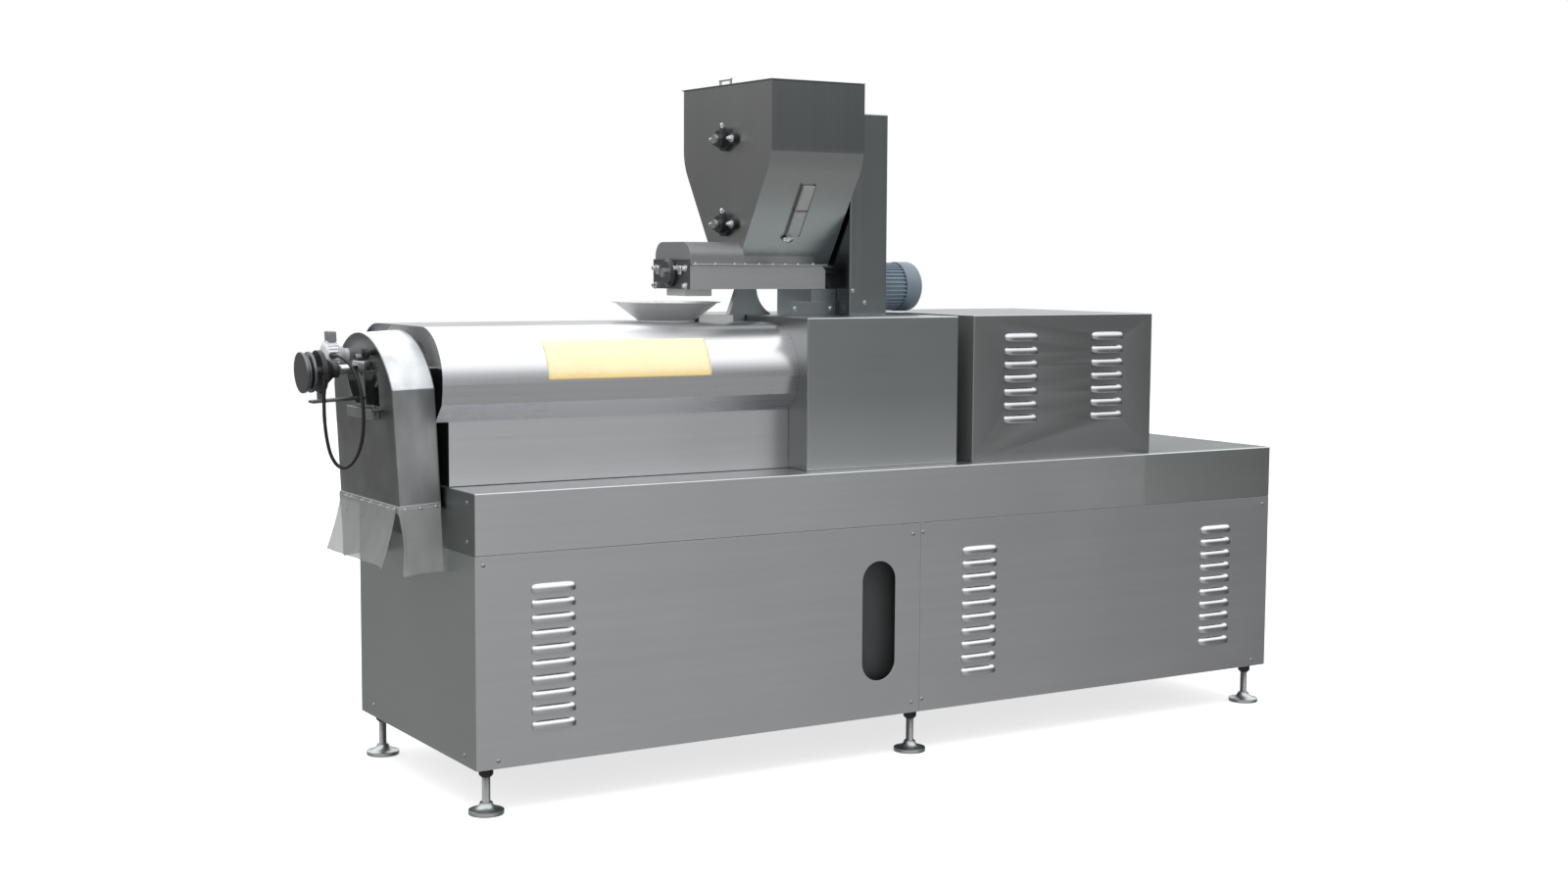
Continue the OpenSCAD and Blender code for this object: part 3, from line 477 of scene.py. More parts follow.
nodeMaterials = {
    panelSteel: ["panel_front_left", "panel_front_right", "panel_back_left", "panel_back_right"],
    endSteel: ["panel_end_left", "panel_end_right"],
    deckLeftSteel: ["deck_left"],
    deckRightSteel: ["deck_right"],
    barrelSteel: ["barrel_cover"],
    skirtSteel: ["barrel_skirts"],
    endPlateSteel: ["barrel_end_plate"],
    gearSteel: ["gearbox_cover", "coupling_guard"],
    motorCoverSteel: ["motor_cover"],
    funnelSteel: ["feed_funnel"],
    feederSteel: ["feeder_trough"],
    feederCoverSteel: ["feeder_cover"],
    spoutSteel: ["feeder_spout"],
    hopperSteel: ["hopper"],
    lidSteel: ["hopper_lid"],
    towerSteel: ["drive_tower"],
    standSteel: ["feeder_pedestal", "feeder_stand"],
    hoodSteel: ["hood_face", "hood_back"],
    wrapperSteel: ["hood_wrapper"],
    flangeSteel: ["hood_flange"],
    ledgeSteel: ["window_ledge"],
    turnedSteel: ["feed_screw", "agitator_upper", "agitator_lower", "lid_handle", "lid_hinge", "hood_studs",
                  "cutter_spindle", "cutter_knife", "die_head"],
    footSteel: ["foot_pads"],
    stemSteel: ["foot_stems"],
    darkSteel: ["cutter_wheel", "feeder_end_plate", "cutter_bracket"],
    frameSteel: ["long_rails", "cross_rails", "frame_posts"],
    castBlack: ["barrel_support", "agitator_bearings", "cutter_bearing"],
    motorPaint: ["feeder_motor"],
    fanPaint: ["feeder_fan_cover"],
    silverPaint: ["cutter_motor"],
    boxAlloy: ["cutter_terminal_box"],
    blackPlastic: ["cable_glands"],
    stripClear: ["sight_strip"],
    flapPvc: ["hood_flaps"],
    cableRubber: ["cutter_cable"],
}
for material, names in nodeMaterials.items():
    for name in names:
        nodes[name].data.materials.clear()
        nodes[name].data.materials.append(material)
print("materials made:", len(nodeMaterials))

cable = {
    "route": [(-215, 44, 1264), (-215, 26, 1264), (-214, 4, 1263), (-211, -22, 1259), (-206, -50, 1247),
              (-198, -75, 1222), (-191, -94, 1185), (-187, -105, 1140), (-186, -109, 1090), (-190, -108, 1040),
              (-199, -102, 1000), (-214, -94, 970), (-233, -83, 955), (-252, -74, 963), (-268, -67, 993),
              (-278, -64, 1040), (-283, -63, 1090), (-284, -63, 1130), (-284, -63, 1160), (-284, -63, 1186)],
    "radius": 5.0, "steps": 8, "ring": 12,
}


def smoothPath(points, steps):
    # Catmull-Rom through the points: each stretch is the cubic with slopes (next - previous) / 2.
    p = np.asarray(points, float)
    p = np.vstack([2 * p[0] - p[1], p, 2 * p[-1] - p[-2]])
    t = (np.arange(steps) / steps)[None, :, None]
    a, b, c, d = p[:-3, None], p[1:-2, None], p[2:-1, None], p[3:, None]
    curve = 0.5 * (2 * b + (c - a) * t + (2 * a - 5 * b + 4 * c - d) * t ** 2 + (3 * b - a - 3 * c + d) * t ** 3)
    return np.vstack([curve.reshape(-1, 3), p[-2]])


def tube(path, radius, ring):
    # Circles carried along a path, closed at both ends: point = centre + r (cos a * side + sin a * up)
    path = np.asarray(path, float)
    along = np.gradient(path, axis=0)
    along /= np.linalg.norm(along, axis=1, keepdims=True)
    side = np.cross(along, (0.0, 0.13, 0.99))  # a direction that the cable never takes
    side /= np.linalg.norm(side, axis=1, keepdims=True)
    up = np.cross(side, along)
    path, side, up = (np.vstack([v[:1], v, v[-1:]]) for v in (path, side, up))
    r = np.full(len(path), float(radius))
    r[[0, -1]] = 0
    a = np.linspace(0, 2 * np.pi, ring, endpoint=False)[None, :, None]
    return path[:, None] + r[:, None, None] * (np.cos(a) * side[:, None] + np.sin(a) * up[:, None])


cablePath = smoothPath(cable["route"], cable["steps"])
cablePiece = addPiece("cutterCable", [(tube(cablePath, cable["radius"], cable["ring"]), False, True)],
                      cableRubber, ["cutter_cable"])

# angles in degrees; an edge is rounded by no more than a share of its narrower face
softening = {"sharp": 30, "flat": 0.4, "share": 0.42, "segments": 3, "smooth": 35, "smoothThin": 7}
# each cover's rounding in millimetres; 0 is for a thin rim that a bevel would close over
softened = {
    "gearbox_cover": 4, "drive_tower": 4, "feeder_pedestal": 2, "feeder_stand": 2, "feeder_trough": 2,
    "hopper": 2, "hopper_lid": 1.4, "motor_cover": 3, "die_head": 3, "cutter_wheel": 1.2,
    "cutter_bearing": 2, "feeder_end_plate": 2, "window_ledge": 2, "cutter_bracket": 1.5,
    "agitator_bearings": 2, "barrel_support": 2, "sight_strip": 2, "feeder_motor": 0.8,
    "feeder_fan_cover": 4, "barrel_end_plate": 0.8, "feeder_spout": 1, "deck_left": 4, "deck_right": 4,
    "hood_face": 0.9, "hood_back": 0.9, "hood_wrapper": 0.9, "barrel_cover": 0, "hood_flange": 0.9,
    "barrel_skirts": 0.8, "feeder_cover": 1, "feed_funnel": 0.8, "panel_front_left": 0.7,
    "panel_front_right": 0.7, "panel_back_left": 0.7, "panel_back_right": 0.7, "panel_end_left": 0.7,
    "panel_end_right": 0.7,
}


def edgeWeights(work, width, s):
    # A sharp edge's weight: its narrower face's 2 * area / perimeter, times the share, over the width.
    layer = work.edges.layers.float.new("bevel_weight_edge")
    for edge in work.edges:
        if len(edge.link_faces) == 2 and edge.calc_face_angle(0) > math.radians(s["sharp"]):
            narrow = min(2 * f.calc_area() / f.calc_perimeter() for f in edge.link_faces)
            edge[layer] = min(1.0, s["share"] * narrow * perMetre / width)


def soften(name, width, s):
    # Copies a CAD node, joins its flat triangles and rounds its sharp edges, less where a face is narrow.
    source = nodes[name]
    mesh = source.data.copy()
    mesh.name = name + "Soft"
    work = bmesh.new()
    work.from_mesh(mesh)
    bmesh.ops.remove_doubles(work, verts=work.verts, dist=mergeWithin)
    bmesh.ops.dissolve_limit(work, angle_limit=math.radians(s["flat"]), verts=work.verts, edges=work.edges)
    if width:
        edgeWeights(work, width, s)
    work.to_mesh(mesh)
    work.free()
    material = mesh.materials[0]
    mesh.materials.clear()
    piece = finishPiece(name + "Soft", mesh, source["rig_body"], material, [name],
                        s["smooth"] if width else s["smoothThin"])
    if not width:
        piece.modifiers.new("normals", "WEIGHTED_NORMAL").keep_sharp = True
        return
    bevel = piece.modifiers.new("edges", "BEVEL")
    bevel.width = width / perMetre
    bevel.segments = s["segments"]
    bevel.limit_method = "WEIGHT"
    bevel.harden_normals = True


for name, width in softened.items():
    soften(name, width, softening)
print("covers softened:", len(softened))


def lathe(profile, centre, axis, ring=24, turn=0.0):
    # (along, radius) pairs turned about an axis: centre + along * axis + radius (cos a * side + sin a * up)
    axis = np.asarray(axis, float) / np.linalg.norm(axis)
    side = np.cross(axis, toTop if abs(axis[2]) < 0.9 else toBack)
    side /= np.linalg.norm(side)
    up = np.cross(side, axis)
    along, radius = np.asarray(profile, float).T
    a = np.linspace(0, 2 * np.pi, ring, endpoint=False) + turn
    circle = np.cos(a)[:, None] * side + np.sin(a)[:, None] * up
    grid = np.asarray(centre, float) + along[:, None, None] * axis + radius[:, None, None] * circle[None]
    return grid, False, True


def bar(start, end, across, up, size, power=6, edge=1.0, ring=24):
    # A bar with soft corners: the rim |p|^n + |q|^n = 1, times half the size, carried from start to end and
    # drawn in by the edge at both ends.
    start, end, across, up = (np.asarray(v, float) for v in (start, end, across, up))
    a = np.linspace(0, 2 * np.pi, ring, endpoint=False) + np.pi / ring
    p = np.sign(np.cos(a)) * np.abs(np.cos(a)) ** (2 / power) * size[0] / 2
    q = np.sign(np.sin(a)) * np.abs(np.sin(a)) ** (2 / power) * size[1] / 2
    length = np.linalg.norm(end - start)
    t = np.array([0, 0, edge, length - edge, length, length]) / length
    drawnIn = 1 - 2 * edge / max(*size, 4 * edge)
    inset = np.array([0, drawnIn, 1, 1, drawnIn, 0])
    rim = p[:, None] * across + q[:, None] * up
    grid = start + t[:, None, None] * (end - start) + inset[:, None, None] * rim[None]
    return grid, False, True


def bolt(place, axis, r, h, turn=0.3):
    # a washer, and a hexagon head with a turned-down top, as (along, radius) in parts of h and r
    washer = [(0, 0), (0, 1.55 * r), (0.22 * h, 1.5 * r), (0.26 * h, 0)]
    head = [(0.2 * h, 0), (0.2 * h, r), (0.86 * h, r), (h, 0.84 * r), (h, 0)]
    return [lathe(washer, place, axis, 18), lathe(head, place, axis, 6, turn)]


def dome(place, axis, r, h):
    # a round screw head with a small recess, as (along, radius) in parts of h and r
    profile = [(0, 0), (0, r), (0.45 * h, 0.93 * r), (0.8 * h, 0.7 * r), (h, 0.42 * r), (0.7 * h, 0.34 * r),
               (0.7 * h, 0)]
    return [lathe(profile, place, axis, 16)]


def solidify(piece, thickness, offset=-1.0):
    wall = piece.modifiers.new("wall", "SOLIDIFY")
    wall.thickness = thickness / perMetre
    wall.offset = offset


louvre = {"half": 68.0, "rise": 19.0, "drop": 8.0, "proud": 11.0, "turn": 3.1, "off": 0.2, "wall": 1.2,
          "cols": 19, "rows": 10, "smooth": 60}
cabinetBank = {"x": (236, 1725, 2740), "low": 239, "pitch": 43, "count": 10, "y": 449}
coverBank = {"x": (1936, 2299), "low": 1031, "pitch": 44, "count": 7, "y": 378}


def louvreHood(x, z, y, out, s):
    # A pressed hood over a slot, a across from -1 to 1 and t down from 0 to 1. It stands proud by
    # P tanh(k t) / tanh(k) * (1 - |a|^7)^0.5, and rises by H (1 - |a|^6)^0.4 at its top.
    a = np.sin(np.linspace(-0.5, 0.5, s["cols"]) * np.pi * 0.998)[None, :]
    t = (np.linspace(0, 1, s["rows"]) ** 1.3)[:, None]
    proud = s["proud"] * np.tanh(s["turn"] * t) / math.tanh(s["turn"]) * (1 - np.abs(a) ** 7) ** 0.5
    height = s["rise"] * (1 - np.abs(a) ** 6) ** 0.4
    zs = z - s["drop"] * (1 - 0.5 * np.abs(a) ** 6) + (1 - t) * (height + s["drop"])
    grid = np.stack(np.broadcast_arrays(x + s["half"] * a, out * (y + s["off"] + proud), zs), -1)
    return (grid if out < 0 else grid[:, ::-1]), False, False


def louvreBank(name, bank, material, s):
    # the same columns of hoods on the front and the back
    hoods = [louvreHood(x, bank["low"] + bank["pitch"] * i, bank["y"], out, s)
             for x in bank["x"] for i in range(bank["count"]) for out in (-1, 1)]
    solidify(addPiece(name, hoods, material, smooth=s["smooth"], closed=False), s["wall"])


louvreBank("cabinetLouvres", cabinetBank, louvreSteel, louvre)
louvreBank("coverLouvres", coverBank, coverLouvreSteel, louvre)
print("louvres pressed")

foot = {
    "x": (50, 1495, 2940), "y": (-400, 400), "padRing": 48, "stemRing": 20, "collarRing": 28,
    # height above the floor and radius
    "pad": [(0, 0), (0, 48.5), (1.5, 50), (9, 50), (11, 49), (12.5, 45), (13.5, 38), (16, 31), (20, 25), (25, 21),
            (30, 18.5), (34, 17.5), (34, 0)],
    "bead": [(9.5, 44.0), (9.5, 50.2), (12.0, 50.2), (13.2, 48.6), (13.2, 44.0), (9.5, 44.0)],
    "collar": [(105, 0), (105, 13.5), (109, 18), (113, 20.5), (131, 20.5), (134.8, 18), (134.8, 0)],
    "thread": {"low": 30, "high": 134.9, "radius": 12, "deep": 0.8, "step": 1.25, "count": 84},
}


def threadProfile(s):
    # a stem whose radius goes in and out by the thread's depth at every step
    turns = [(s["low"] + k * s["step"], s["radius"] - s["deep"] * (k % 2)) for k in range(s["count"])]
    return [(s["low"], 0)] + turns + [(s["high"], s["radius"]), (s["high"], 0)]


def turnedFeet(profile, ring):
    return [lathe(profile, (x, y, 0), toTop, ring) for x in foot["x"] for y in foot["y"]]


addPiece("footPadsTurned", turnedFeet(foot["pad"], foot["padRing"]) + turnedFeet(foot["bead"], foot["padRing"]),
         footSteel, ["foot_pads"])
addPiece("footStemsTurned", turnedFeet(threadProfile(foot["thread"]), foot["stemRing"]), stemSteel,
         ["foot_stems"])
addPiece("footCollars", turnedFeet(foot["collar"], foot["collarRing"]), blackPlastic)
print("feet turned")

panelPlaces = [(25, 706), (66, 157), (1465, 698), (1502, 702), (1464, 167), (1505, 174), (2960, 706), (2925, 157)]
endPlaces = [(345, 172), (-364, 164), (345, 768), (-397, 767), (345, 872), (-399, 876)]
# each row has its places, the way its heads face and their (radius, height)
screwRows = {
    "front": {"at": [(x, -449, z) for x, z in panelPlaces], "way": toFront, "head": (6, 3)},
    "back": {"at": [(x, 449, z) for x, z in panelPlaces], "way": toBack, "head": (6, 3)},
    "left": {"at": [(1, y, z) for y, z in endPlaces], "way": toLeft, "head": (6, 3)},
    "right": {"at": [(2989, y, z) for y, z in endPlaces], "way": toRight, "head": (6, 3)},
}
feederRows = {
    "trough": {"at": [(x, y, 1530.5) for x in (873, 943, 1012, 1050, 1100, 1150, 1197, 1244, 1300)
                      for y in (-118, 118)], "way": toTop, "head": (4.6, 5)},
    "stand": {"at": [(x, -108, 1391) for x in (1241, 1375)], "way": toFront, "head": (6, 6)},
    "tower": {"at": [(1411, -182, 1448.3), (1456, -182, 1410.8)], "way": toFront, "head": (5, 5)},
    "bearing": {"at": [(1038, y, z) for z in (1655, 1920) for y in (55, -55)], "way": toLeft, "head": (8.5, 12)},
}
flangeSide = (-108, -62, -16)
flangeRows = {
    "face": {"at": [leaned(-129, y, 11) for y in (180, 139, 43, -20, -100, -162, -205)], "way": faceOut,
             "head": (4.6, 5)},
    "near": {"at": [leaned(u, -236, 11) for u in flangeSide], "way": toFront, "head": (4.6, 5)},
    "far": {"at": [leaned(u, 236, 11) for u in flangeSide], "way": toBack, "head": (4.6, 5)},
}
# bare stud ends and greasers on the hopper's bearings, (along, radius)
studEnd = {"profile": [(0, 0), (0, 5), (17, 5), (19, 3.8), (19, 0)], "axis": toLeft, "ring": 12}
greaser = {"profile": [(0, 0), (0, 7), (5, 7), (5, 4), (8, 4), (9, 5.4), (12, 5.4), (14, 3), (14, 0)],
           "axis": (-0.5, -0.2, 0.84), "ring": 12}
greaserPlaces = [(1030, -14, 1691), (1030, -14, 1956)]


def fixings(rows, make=bolt):
    return sum((make(place, s["way"], *s["head"]) for s in rows.values() for place in s["at"]), [])


addPiece("panelScrews", fixings(screwRows, dome), screwSteel)
bearingStuds = [lathe(centre=place, **studEnd) for place in feederRows["bearing"]["at"]]
greasers = [lathe(centre=place, **greaser) for place in greaserPlaces]
addPiece("feederBolts", fixings(feederRows) + bearingStuds + greasers, boltSteel)
addPiece("hoodBolts", fixings(flangeRows), boltSteel)
print("bolts set")

feederEnd = {
    "flange": [{"start": (859.2, y, 1528.9), "end": (1352, y, 1528.9), "across": toBack, "up": toTop,
                "size": (16, 3.2), "power": 8, "edge": 0.8} for y in (-117.5, 117.5)],
    "ears": [{"start": (846, y, 1498), "end": (846, y, 1524), "across": toBack, "up": toRight,
              "size": (20, 8), "power": 5, "edge": 1.5} for y in (-72, 72)],
    "studs": {"plate": {"at": [(851, -96, 1517), (851, -40, 1517), (851, 40, 1517), (851, 96, 1517),
                               (851, -96, 1463), (851, 96, 1463)], "way": toLeft, "head": (7.5, 12)}},
    "boss": {"profile": [(0, 0), (0, 44), (7, 44), (10, 41), (14, 38), (17, 36.4), (17.8, 30), (17.8, 0)],
             "centre": (851, 0, 1503), "axis": toLeft, "ring": 48},
}
addPiece("troughFlange", [bar(**s) for s in feederEnd["flange"]], feederSteel)
addPiece("feederEndStuds", fixings(feederEnd["studs"]), boltSteel)
addPiece("feederEndEars", [bar(**s) for s in feederEnd["ears"]], brightSteel)
addPiece("feederBoss", [lathe(**feederEnd["boss"])], castBlack)
print("feeder end fitted")

# sealed seams where the skirts stand on the deck
seam = {"size": 2.4, "in": 2.0, "out": 1.0, "edge": 0.6}
low, high = (np.asarray(corner, float) * perMetre - (leftEnd, 0, 0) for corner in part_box("barrel_skirts"))
seamZ = deckTop + seam["size"] / 2
addPiece("skirtSeams", [bar((low[0] + seam["in"], y, seamZ), (high[0] - seam["in"], y, seamZ), toBack, toTop,
                            (seam["size"], seam["size"]), edge=seam["edge"])
                        for y in (low[1] - seam["out"], high[1] + seam["out"])], linerSteel)

# the motor cover's end sheet, in the gap between the covers, dark with painted shade
coverEnd = {"start": (1743.4, 0, 906.0), "end": (1743.4, 0, 1370.5), "across": toBack, "up": toRight,
            "size": (753.0, 0.8), "power": 40, "edge": 0.2, "ring": 48}
addPiece("motorCoverEnd", [bar(**coverEnd)], coverEndShadedSteel)

# the hopper's front slope: a point on it and its lean in degrees
slope = {"y": -70.0, "z": 1527.0, "lean": 32.2}
slopeUp = np.array([0, -math.sin(math.radians(slope["lean"])), math.cos(math.radians(slope["lean"]))])
slopeOut = np.array([0, -slopeUp[2], slopeUp[1]])


def onSlope(x, s, h):
    # a place s up the hopper's front slope and h off it
    return np.array([x, slope["y"], slope["z"]]) + s * slopeUp + h * slopeOut


sightBand = {"start": onSlope(1188, 204, 5.0), "end": onSlope(1240, 204, 5.0), "across": slopeUp, "up": slopeOut,
             "size": (5, 10), "edge": 0.8}
sightEdges = [{"start": onSlope(x, 110, 5.0), "end": onSlope(x, 294, 5.0), "across": toRight, "up": slopeOut,
               "size": (4, 10.5), "edge": 0.8} for x in (1190.5, 1237.5)]
sightLatch = [{"start": onSlope(1180, 101, 8), "end": onSlope(1216, 101, 8), "across": slopeUp, "up": slopeOut,
               "size": (15, 12), "power": 3, "edge": 3},
              {"start": onSlope(1198, 92, 13), "end": onSlope(1198, 116, 13), "across": toRight, "up": slopeOut,
               "size": (12, 7), "power": 4, "edge": 2}]
addPiece("sightBand", [bar(**sightBand)], darkSteel)
addPiece("sightEdges", [bar(**s) for s in sightEdges], hopperSteel)
addPiece("sightLatch", [bar(**s) for s in sightLatch], brightSteel)
print("sight strip fitted")

# the label is plain; angles in degrees round the cover's shoulder
label = {"x": (280, 811), "y": -172.0, "z": 1194.0, "r": 158.5, "angles": (2.8, 47.2), "wall": 0.35, "grid": (40, 28)}


def labelGrid(s):
    # a sheet round the cover's shoulder: y = y0 - r cos f, z = z0 + r sin f
    x = np.linspace(*s["x"], s["grid"][0])[:, None]
    f = np.radians(np.linspace(*s["angles"], s["grid"][1]))[None, :]
    x, f = np.broadcast_arrays(x, f)
    return np.stack([x, s["y"] - s["r"] * np.cos(f), s["z"] + s["r"] * np.sin(f)], -1), False, False


solidify(addPiece("coverLabel", [labelGrid(label)], labelYellow, closed=False), label["wall"], 1.0)
print("label laid")

# places are in the hood's own frame, and profiles are (along, radius)
hoodKnob = {"profile": [(0, 0), (0, 9), (4, 9), (5, 7), (11, 7), (12, 12), (14, 15), (24, 16), (28, 14.5), (30, 10),
                        (30.5, 0)], "centre": leaned(-126, -103, 446), "axis": faceOut, "ring": 32}
hoodStud = {
    "shaft": {"profile": [(0, 0), (0, 5), (14, 5), (14, 7), (24, 7), (24.8, 6), (24.8, 0)],
              "centre": leaned(-126, -140, 286), "axis": faceOut, "ring": 20},
    "wing": {"start": leaned(-146, -140, 269), "end": leaned(-146, -140, 301), "across": toBack, "up": faceOut,
             "size": (9, 9), "power": 3, "edge": 2},
}
hoodRod = {
    "rod": {"start": leaned(-152, -102, 418), "end": leaned(-152, -12, 418), "across": faceOut, "up": toTop,
            "size": (9, 9), "power": 2, "edge": 1.2},
    "block": {"start": leaned(-126.2, -58, 408), "end": leaned(-146, -58, 408), "across": toBack, "up": toTop,
              "size": (56, 30), "power": 4, "edge": 3},
    "socket": {"profile": [(0, 0), (0, 13), (20, 13), (24, 11), (24, 0)], "centre": leaned(-126, -24, 428),
               "axis": faceOut},
}
addPiece("hoodKnob", [lathe(**hoodKnob)], blackPlastic)
addPiece("hoodStud", [lathe(**hoodStud["shaft"]), bar(**hoodStud["wing"])], darkSteel)
addPiece("hoodRod", [bar(**hoodRod["rod"])], brightSteel)
addPiece("hoodRodBody", [bar(**hoodRod["block"]), lathe(**hoodRod["socket"])], darkSteel)
print("hood fitted")

hoodMotor = {
    "u": -126.0, "y": 100.0, "w": hood["spindle"] + 37, "finned": (38, 67), "fins": 24, "finHeight": 4.5,
    "finSteps": 8, "finRows": 6, "finEnd": 0.1,
    # (out from the face, radius)
    "body": [(0.3, 0), (0.3, 17), (12, 17), (15, 21), (25, 25), (33, 33), (36, 36), (39, 37.5), (66, 37.5), (70, 36),
             (73.5, 31), (75.3, 22), (75.8, 0)],
    "box": {"near": 38.0, "far": 60.0, "half": 24.0, "low": 38.0, "high": 68.2, "soft": (8, 2.0, 40)},
}


def motorShell(s):
    # The body's profile turned about its axis, with fins between two places: r = r0 + f max(0, cos(n a))^0.6.
    along, radius = np.asarray(s["body"], float).T
    first, last = s["finned"]
    rows = np.unique(np.concatenate([along, np.linspace(first, last, s["finRows"]),
                                     [first - s["finEnd"], last + s["finEnd"]]]))
    r0 = np.interp(rows, along[1:], radius[1:])
    r0[0] = 0.0
    rows, r0 = np.insert(rows, 1, rows[0]), np.insert(r0, 1, radius[1])
    a = np.linspace(0, 2 * np.pi, s["fins"] * s["finSteps"], endpoint=False)[None, :]
    inside = ((rows >= first) & (rows <= last))[:, None]
    r = r0[:, None] + inside * s["finHeight"] * np.clip(np.cos(s["fins"] * a), 0, 1) ** 0.6
    grid = leaned(*np.broadcast_arrays(s["u"] - rows[:, None], s["y"] + r * np.cos(a), s["w"] + r * np.sin(a)))
    return grid, False, True


def motorBox(s):
    b = s["box"]
    low, high = (leaned(s["u"] - (b["near"] + b["far"]) / 2, s["y"], s["w"] + h) for h in (b["low"], b["high"]))
    return bar(low, high, toBack, faceOut, (2 * b["half"], b["far"] - b["near"]), *b["soft"])


addPiece("hoodMotorBody", [motorShell(hoodMotor)], silverPaint, ["cutter_motor"])
addPiece("hoodMotorBox", [motorBox(hoodMotor)], boxAlloy, ["cutter_terminal_box"])
print("hood motor made")

# tapered strain reliefs at both ends of the cable, (along, radius)
reliefs = [
    {"profile": [(0, 0), (0, 9.4), (5, 9.4), (6, 8.2), (9, 8.2), (14, 7.2), (22, 6.4), (34, 5.7), (36, 5.2), (36, 0)],
     "centre": (-215, 50, 1264), "axis": toFront},
    {"profile": [(0, 0), (0, 8.0), (4, 8.0), (5, 7.2), (9, 7.2), (16, 6.6), (26, 5.9), (32, 5.2), (32, 0)],
     "centre": (-284, -63, 1190), "axis": toFloor},
]
addPiece("cableReliefs", [lathe(**s) for s in reliefs], blackPlastic)

# a sheet behind the front panel's long slot, dark with painted shade for the cabinet's inside
liner = {"x": (1180, 1462), "y": -392.0, "z": (197, 700), "grid": 8, "wall": 2.0}
linerGrid = np.stack(np.broadcast_arrays(np.linspace(*liner["x"], liner["grid"])[:, None], liner["y"],
                                         np.linspace(*liner["z"], liner["grid"])[None, :]), -1)
solidify(addPiece("slotLiner", [(linerGrid, False, False)], linerSteel, closed=False), liner["wall"])
print("liner set")

# waves and the lower edge's wave are (height, turns, start); curls are (height, where they begin, over how
# much, growth down the flap); a side flap's curl is (height, its share in y and in u, how near the edge it stays)
flap = {
    "grip": 16.0, "wall": 2.2,
    "outer": {"u": -130.9, "half": 221.0, "length": 162.0, "swing": 45.0, "widen": 0.01,
              "waves": ((3.2, 5.1, 0.6), (1.6, 11, 1.9)), "lower": (0.012, 4, 0.0),
              "curls": ((11, 0.86, 0.14, 1.4), (6, 0.9, 0.1, 1.6)), "grid": (64, 36)},
    "side": {"y": 237.9, "first": -130.0, "width": 126.0, "length": 192.0, "out": 2.5,
             "waves": ((2.0, 7.3, 0.4), (1.2, 13, 0.0)), "lower": (-0.02, 3, 0.0),
             "curl": (15, 0.7, 0.35, 0.09), "grid": (36, 44)},
}


def waves(a, parts):
    return sum(height * np.sin(turns * a + start) for height, turns, start in parts)


def curled(a, t, curl):
    height, begin, over, growth = curl
    return height * np.clip(a - begin, 0, 1) / over * t ** growth


def outerFlap(s):
    # Held along its top, a across from -1 to 1 and t down from 0 to 1, it swings out: u = u0 - swing t^1.25,
    # with ripples that grow as t^1.6 and a curl at each side.
    a = np.linspace(-1, 1, s["grid"][0])[:, None]
    t = np.linspace(0, 1, s["grid"][1])[None, :]
    curl = curled(-a, t, s["curls"][0]) + curled(a, t, s["curls"][1])
    u = s["u"] - s["swing"] * t ** 1.25 + waves(a, s["waves"]) * t ** 1.6 - curl
    w = flap["grip"] - s["length"] * t * (1 + waves(a, [s["lower"]]))
    return leaned(*np.broadcast_arrays(u, s["half"] * a * (1 + s["widen"] * t), w)), False, False


def sideFlap(s, out):
    # Held along its top, it hangs a little outwards, y = y0 + out t^1.4 and ripples, and curls by
    # exp(-(a / near)^1.5) along the edge nearest the front, most at half its length.
    a = np.linspace(0, 1, s["grid"][0])[:, None]
    t = np.linspace(0, 1, s["grid"][1])[None, :]
    height, inY, inU, near = s["curl"]
    curl = height * np.exp(-(a / near) ** 1.5) * np.sin(np.pi * np.clip(t * 1.12 - 0.05, 0, 1)) ** 1.2
    y = s["y"] + s["out"] * t ** 1.4 + waves(a, s["waves"]) * t ** 1.5 + inY * curl
    u = s["first"] + s["width"] * a + inU * curl + s["out"] * t * (1 - 2 * a)
    w = flap["grip"] - s["length"] * t * (1 + waves(a, [s["lower"]]))
    return leaned(*np.broadcast_arrays(u, out * y, w)), False, False


flapPieces = [("outerFlap", outerFlap(flap["outer"]), (0.442, 0.162), ["hood_flaps"]),
              ("nearFlap", sideFlap(flap["side"], -1), (0.126, 0.192), ()),
              ("farFlap", sideFlap(flap["side"], 1), (0.126, 0.192), ())]
for name, surface, flat, stoodFor in flapPieces:
    piece = addPiece(name, [surface], flapPvc, stoodFor, closed=False)
    solidify(piece, flap["wall"], 0.0)
print("flaps hung")


def rayMix(tree, outputs, seen, other):
    # Sends the first shader to the rays named and the second to the rest.
    path = node(tree, "ShaderNodeLightPath")
    total = path.outputs[outputs[0]]
    for extra in outputs[1:]:
        total = math2(tree, "MAXIMUM", total, path.outputs[extra])
    mix = node(tree, "ShaderNodeMixShader")
    tree.links.new(total, mix.inputs[0])
    tree.links.new(other, mix.inputs[1])
    tree.links.new(seen, mix.inputs[2])
    return mix.outputs[0]


studio = {
    "skyLight": 0.68, "floorTone": 0.80, "floorLift": 0.70, "floorHalf": 13.0,
    "lamp": 140, "lampSize": (6.0, 3.5), "lampPlace": (-0.6, -1.6, 4.6), "lampAim": (0, 0, 1.2),
    # how bright the room is, by the sine of the height looked at: before the machine and behind it
    "front": [(-1, 0.57), (-0.5, 0.44), (-0.35, 0.42), (-0.2, 0.46), (-0.1, 0.48), (0, 0.5), (0.105, 0.6),
              (0.208, 0.7), (0.292, 0.84), (0.39, 1.13), (0.469, 1.6), (0.574, 1.8), (1, 2.0)],
    "behind": [(-1, 0.5), (-0.2, 0.34), (0, 0.25), (0.087, 0.24), (0.174, 0.5), (0.276, 1.3), (0.34, 1.6), (1, 2.0)],
    "between": 0.05,
    # darker parts of the room, by how far to the drive end: one at the machine's own height and one lower
    "shade": {"from": 0.44, "to": 0.525, "low": -0.045, "lowBlur": 0.045, "high": 0.14, "highBlur": 0.16,
              "keep": 0.24},
    "lowShade": {"from": 0.62, "to": 0.72, "keep": 0.18},
}


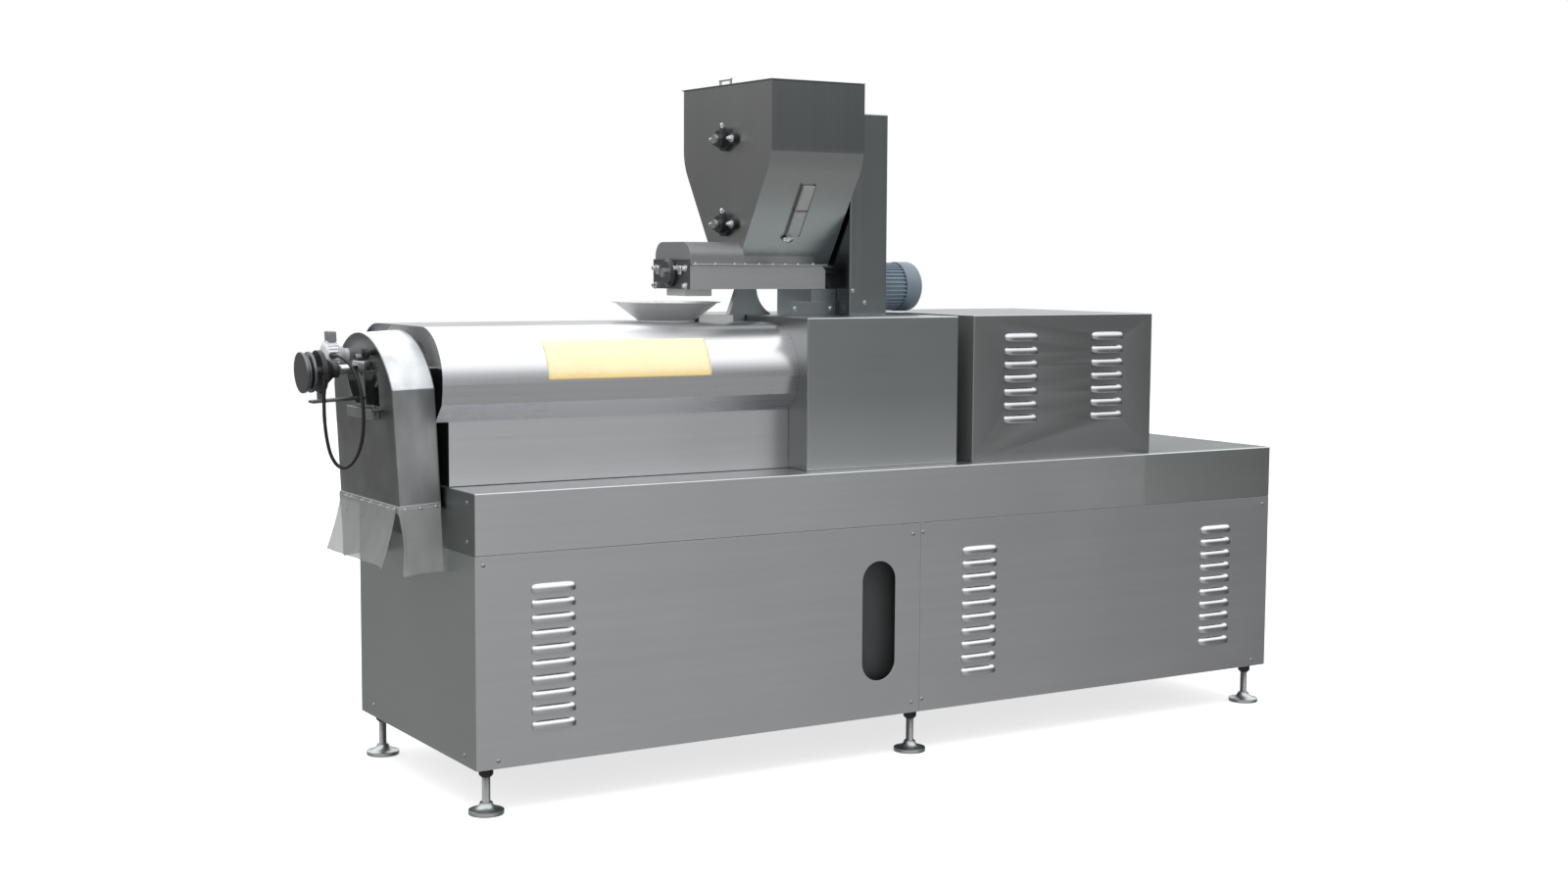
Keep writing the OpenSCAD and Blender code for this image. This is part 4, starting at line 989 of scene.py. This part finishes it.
def makeWorld(s):
    # Metal sees a room whose brightness is a chain of straight pieces over height, times 1 - shade.
    world = bpy.data.worlds.new("studio")
    scene.world = world
    world.use_nodes = True
    tree = world.node_tree
    tree.nodes.clear()
    link = tree.links.new
    coords = node(tree, "ShaderNodeTexCoord")
    split = node(tree, "ShaderNodeSeparateXYZ")
    link(coords.outputs["Generated"], split.inputs[0])
    x, y, z = split.outputs

    def smooth(value, low, high, first=0.0, last=1.0):
        return mapRange(tree, value, low, high, first, last, "SMOOTHSTEP")

    def without(value):
        return math2(tree, "SUBTRACT", 1.0, value)

    def ramp(points):
        # the sum of each rise over its own stretch of heights
        total = points[0][1]
        for (z0, v0), (z1, v1) in zip(points[:-1], points[1:]):
            total = add(tree, mapRange(tree, z, z0, z1, 0.0, v1 - v0), total)
        return total

    def background(strength):
        b = node(tree, "ShaderNodeBackground")
        b.inputs["Color"].default_value = (1, 1, 1, 1)
        feed(tree, strength, b.inputs["Strength"])
        return b.outputs[0]

    shade, lowShade = s["shade"], s["lowShade"]
    rising = smooth(z, shade["low"] - shade["lowBlur"], shade["low"])
    level = times(tree, rising, smooth(z, shade["high"], shade["high"] + shade["highBlur"], 1.0, 0.0))
    dark = times(tree, smooth(x, shade["from"], shade["to"], 0.0, 1 - shade["keep"]), level)
    under = times(tree, smooth(x, lowShade["from"], lowShade["to"], 0.0, 1 - lowShade["keep"]), without(rising))
    before = times(tree, ramp(s["front"]), without(add(tree, dark, under)))
    side = smooth(y, -s["between"], s["between"])
    room = add(tree, times(tree, before, without(side)), times(tree, ramp(s["behind"]), side))
    seen = rayMix(tree, ["Is Glossy Ray"], background(room), background(s["skyLight"]))
    whole = rayMix(tree, ["Is Camera Ray", "Is Transmission Ray"], background(1.0), seen)
    link(whole, node(tree, "ShaderNodeOutputWorld").inputs[0])


def makeFloor(s):
    size = s["floorHalf"]
    mesh = bpy.data.meshes.new("floor")
    mesh.from_pydata([(-size, -size, 0), (size, -size, 0), (size, size, 0), (-size, size, 0)], [], [(0, 1, 2, 3)])
    floor = bpy.data.objects.new("floor", mesh)
    scene.collection.objects.link(floor)
    material = bpy.data.materials.new("floorPale")
    material.use_nodes = True
    tree = material.node_tree
    tree.nodes.clear()
    plain = node(tree, "ShaderNodeBsdfDiffuse")
    plain.inputs["Color"].default_value = (s["floorTone"],) * 3 + (1,)
    lift = node(tree, "ShaderNodeEmission")
    lift.inputs["Strength"].default_value = s["floorLift"]
    through = node(tree, "ShaderNodeBsdfTransparent")  # metal sees the room's own lower half
    both = node(tree, "ShaderNodeAddShader")
    tree.links.new(plain.outputs[0], both.inputs[0])
    tree.links.new(lift.outputs[0], both.inputs[1])
    inMetal = rayMix(tree, ["Is Glossy Ray"], through.outputs[0], plain.outputs[0])
    shader = rayMix(tree, ["Is Camera Ray", "Is Transmission Ray"], both.outputs[0], inMetal)
    tree.links.new(shader, node(tree, "ShaderNodeOutputMaterial").inputs[0])
    mesh.materials.append(material)


def makeLamp(s):
    data = bpy.data.lights.new("softbox", "AREA")
    data.shape = "RECTANGLE"
    data.size, data.size_y = s["lampSize"]
    data.energy = s["lamp"]
    lamp = bpy.data.objects.new("softbox", data)
    lamp.location = s["lampPlace"]
    lamp.rotation_euler = (Vector(s["lampAim"]) - lamp.location).to_track_quat("-Z", "Y").to_euler()
    lamp.visible_glossy = False
    scene.collection.objects.link(lamp)


makeWorld(studio)
makeFloor(studio)
makeLamp(studio)
print("studio lit")
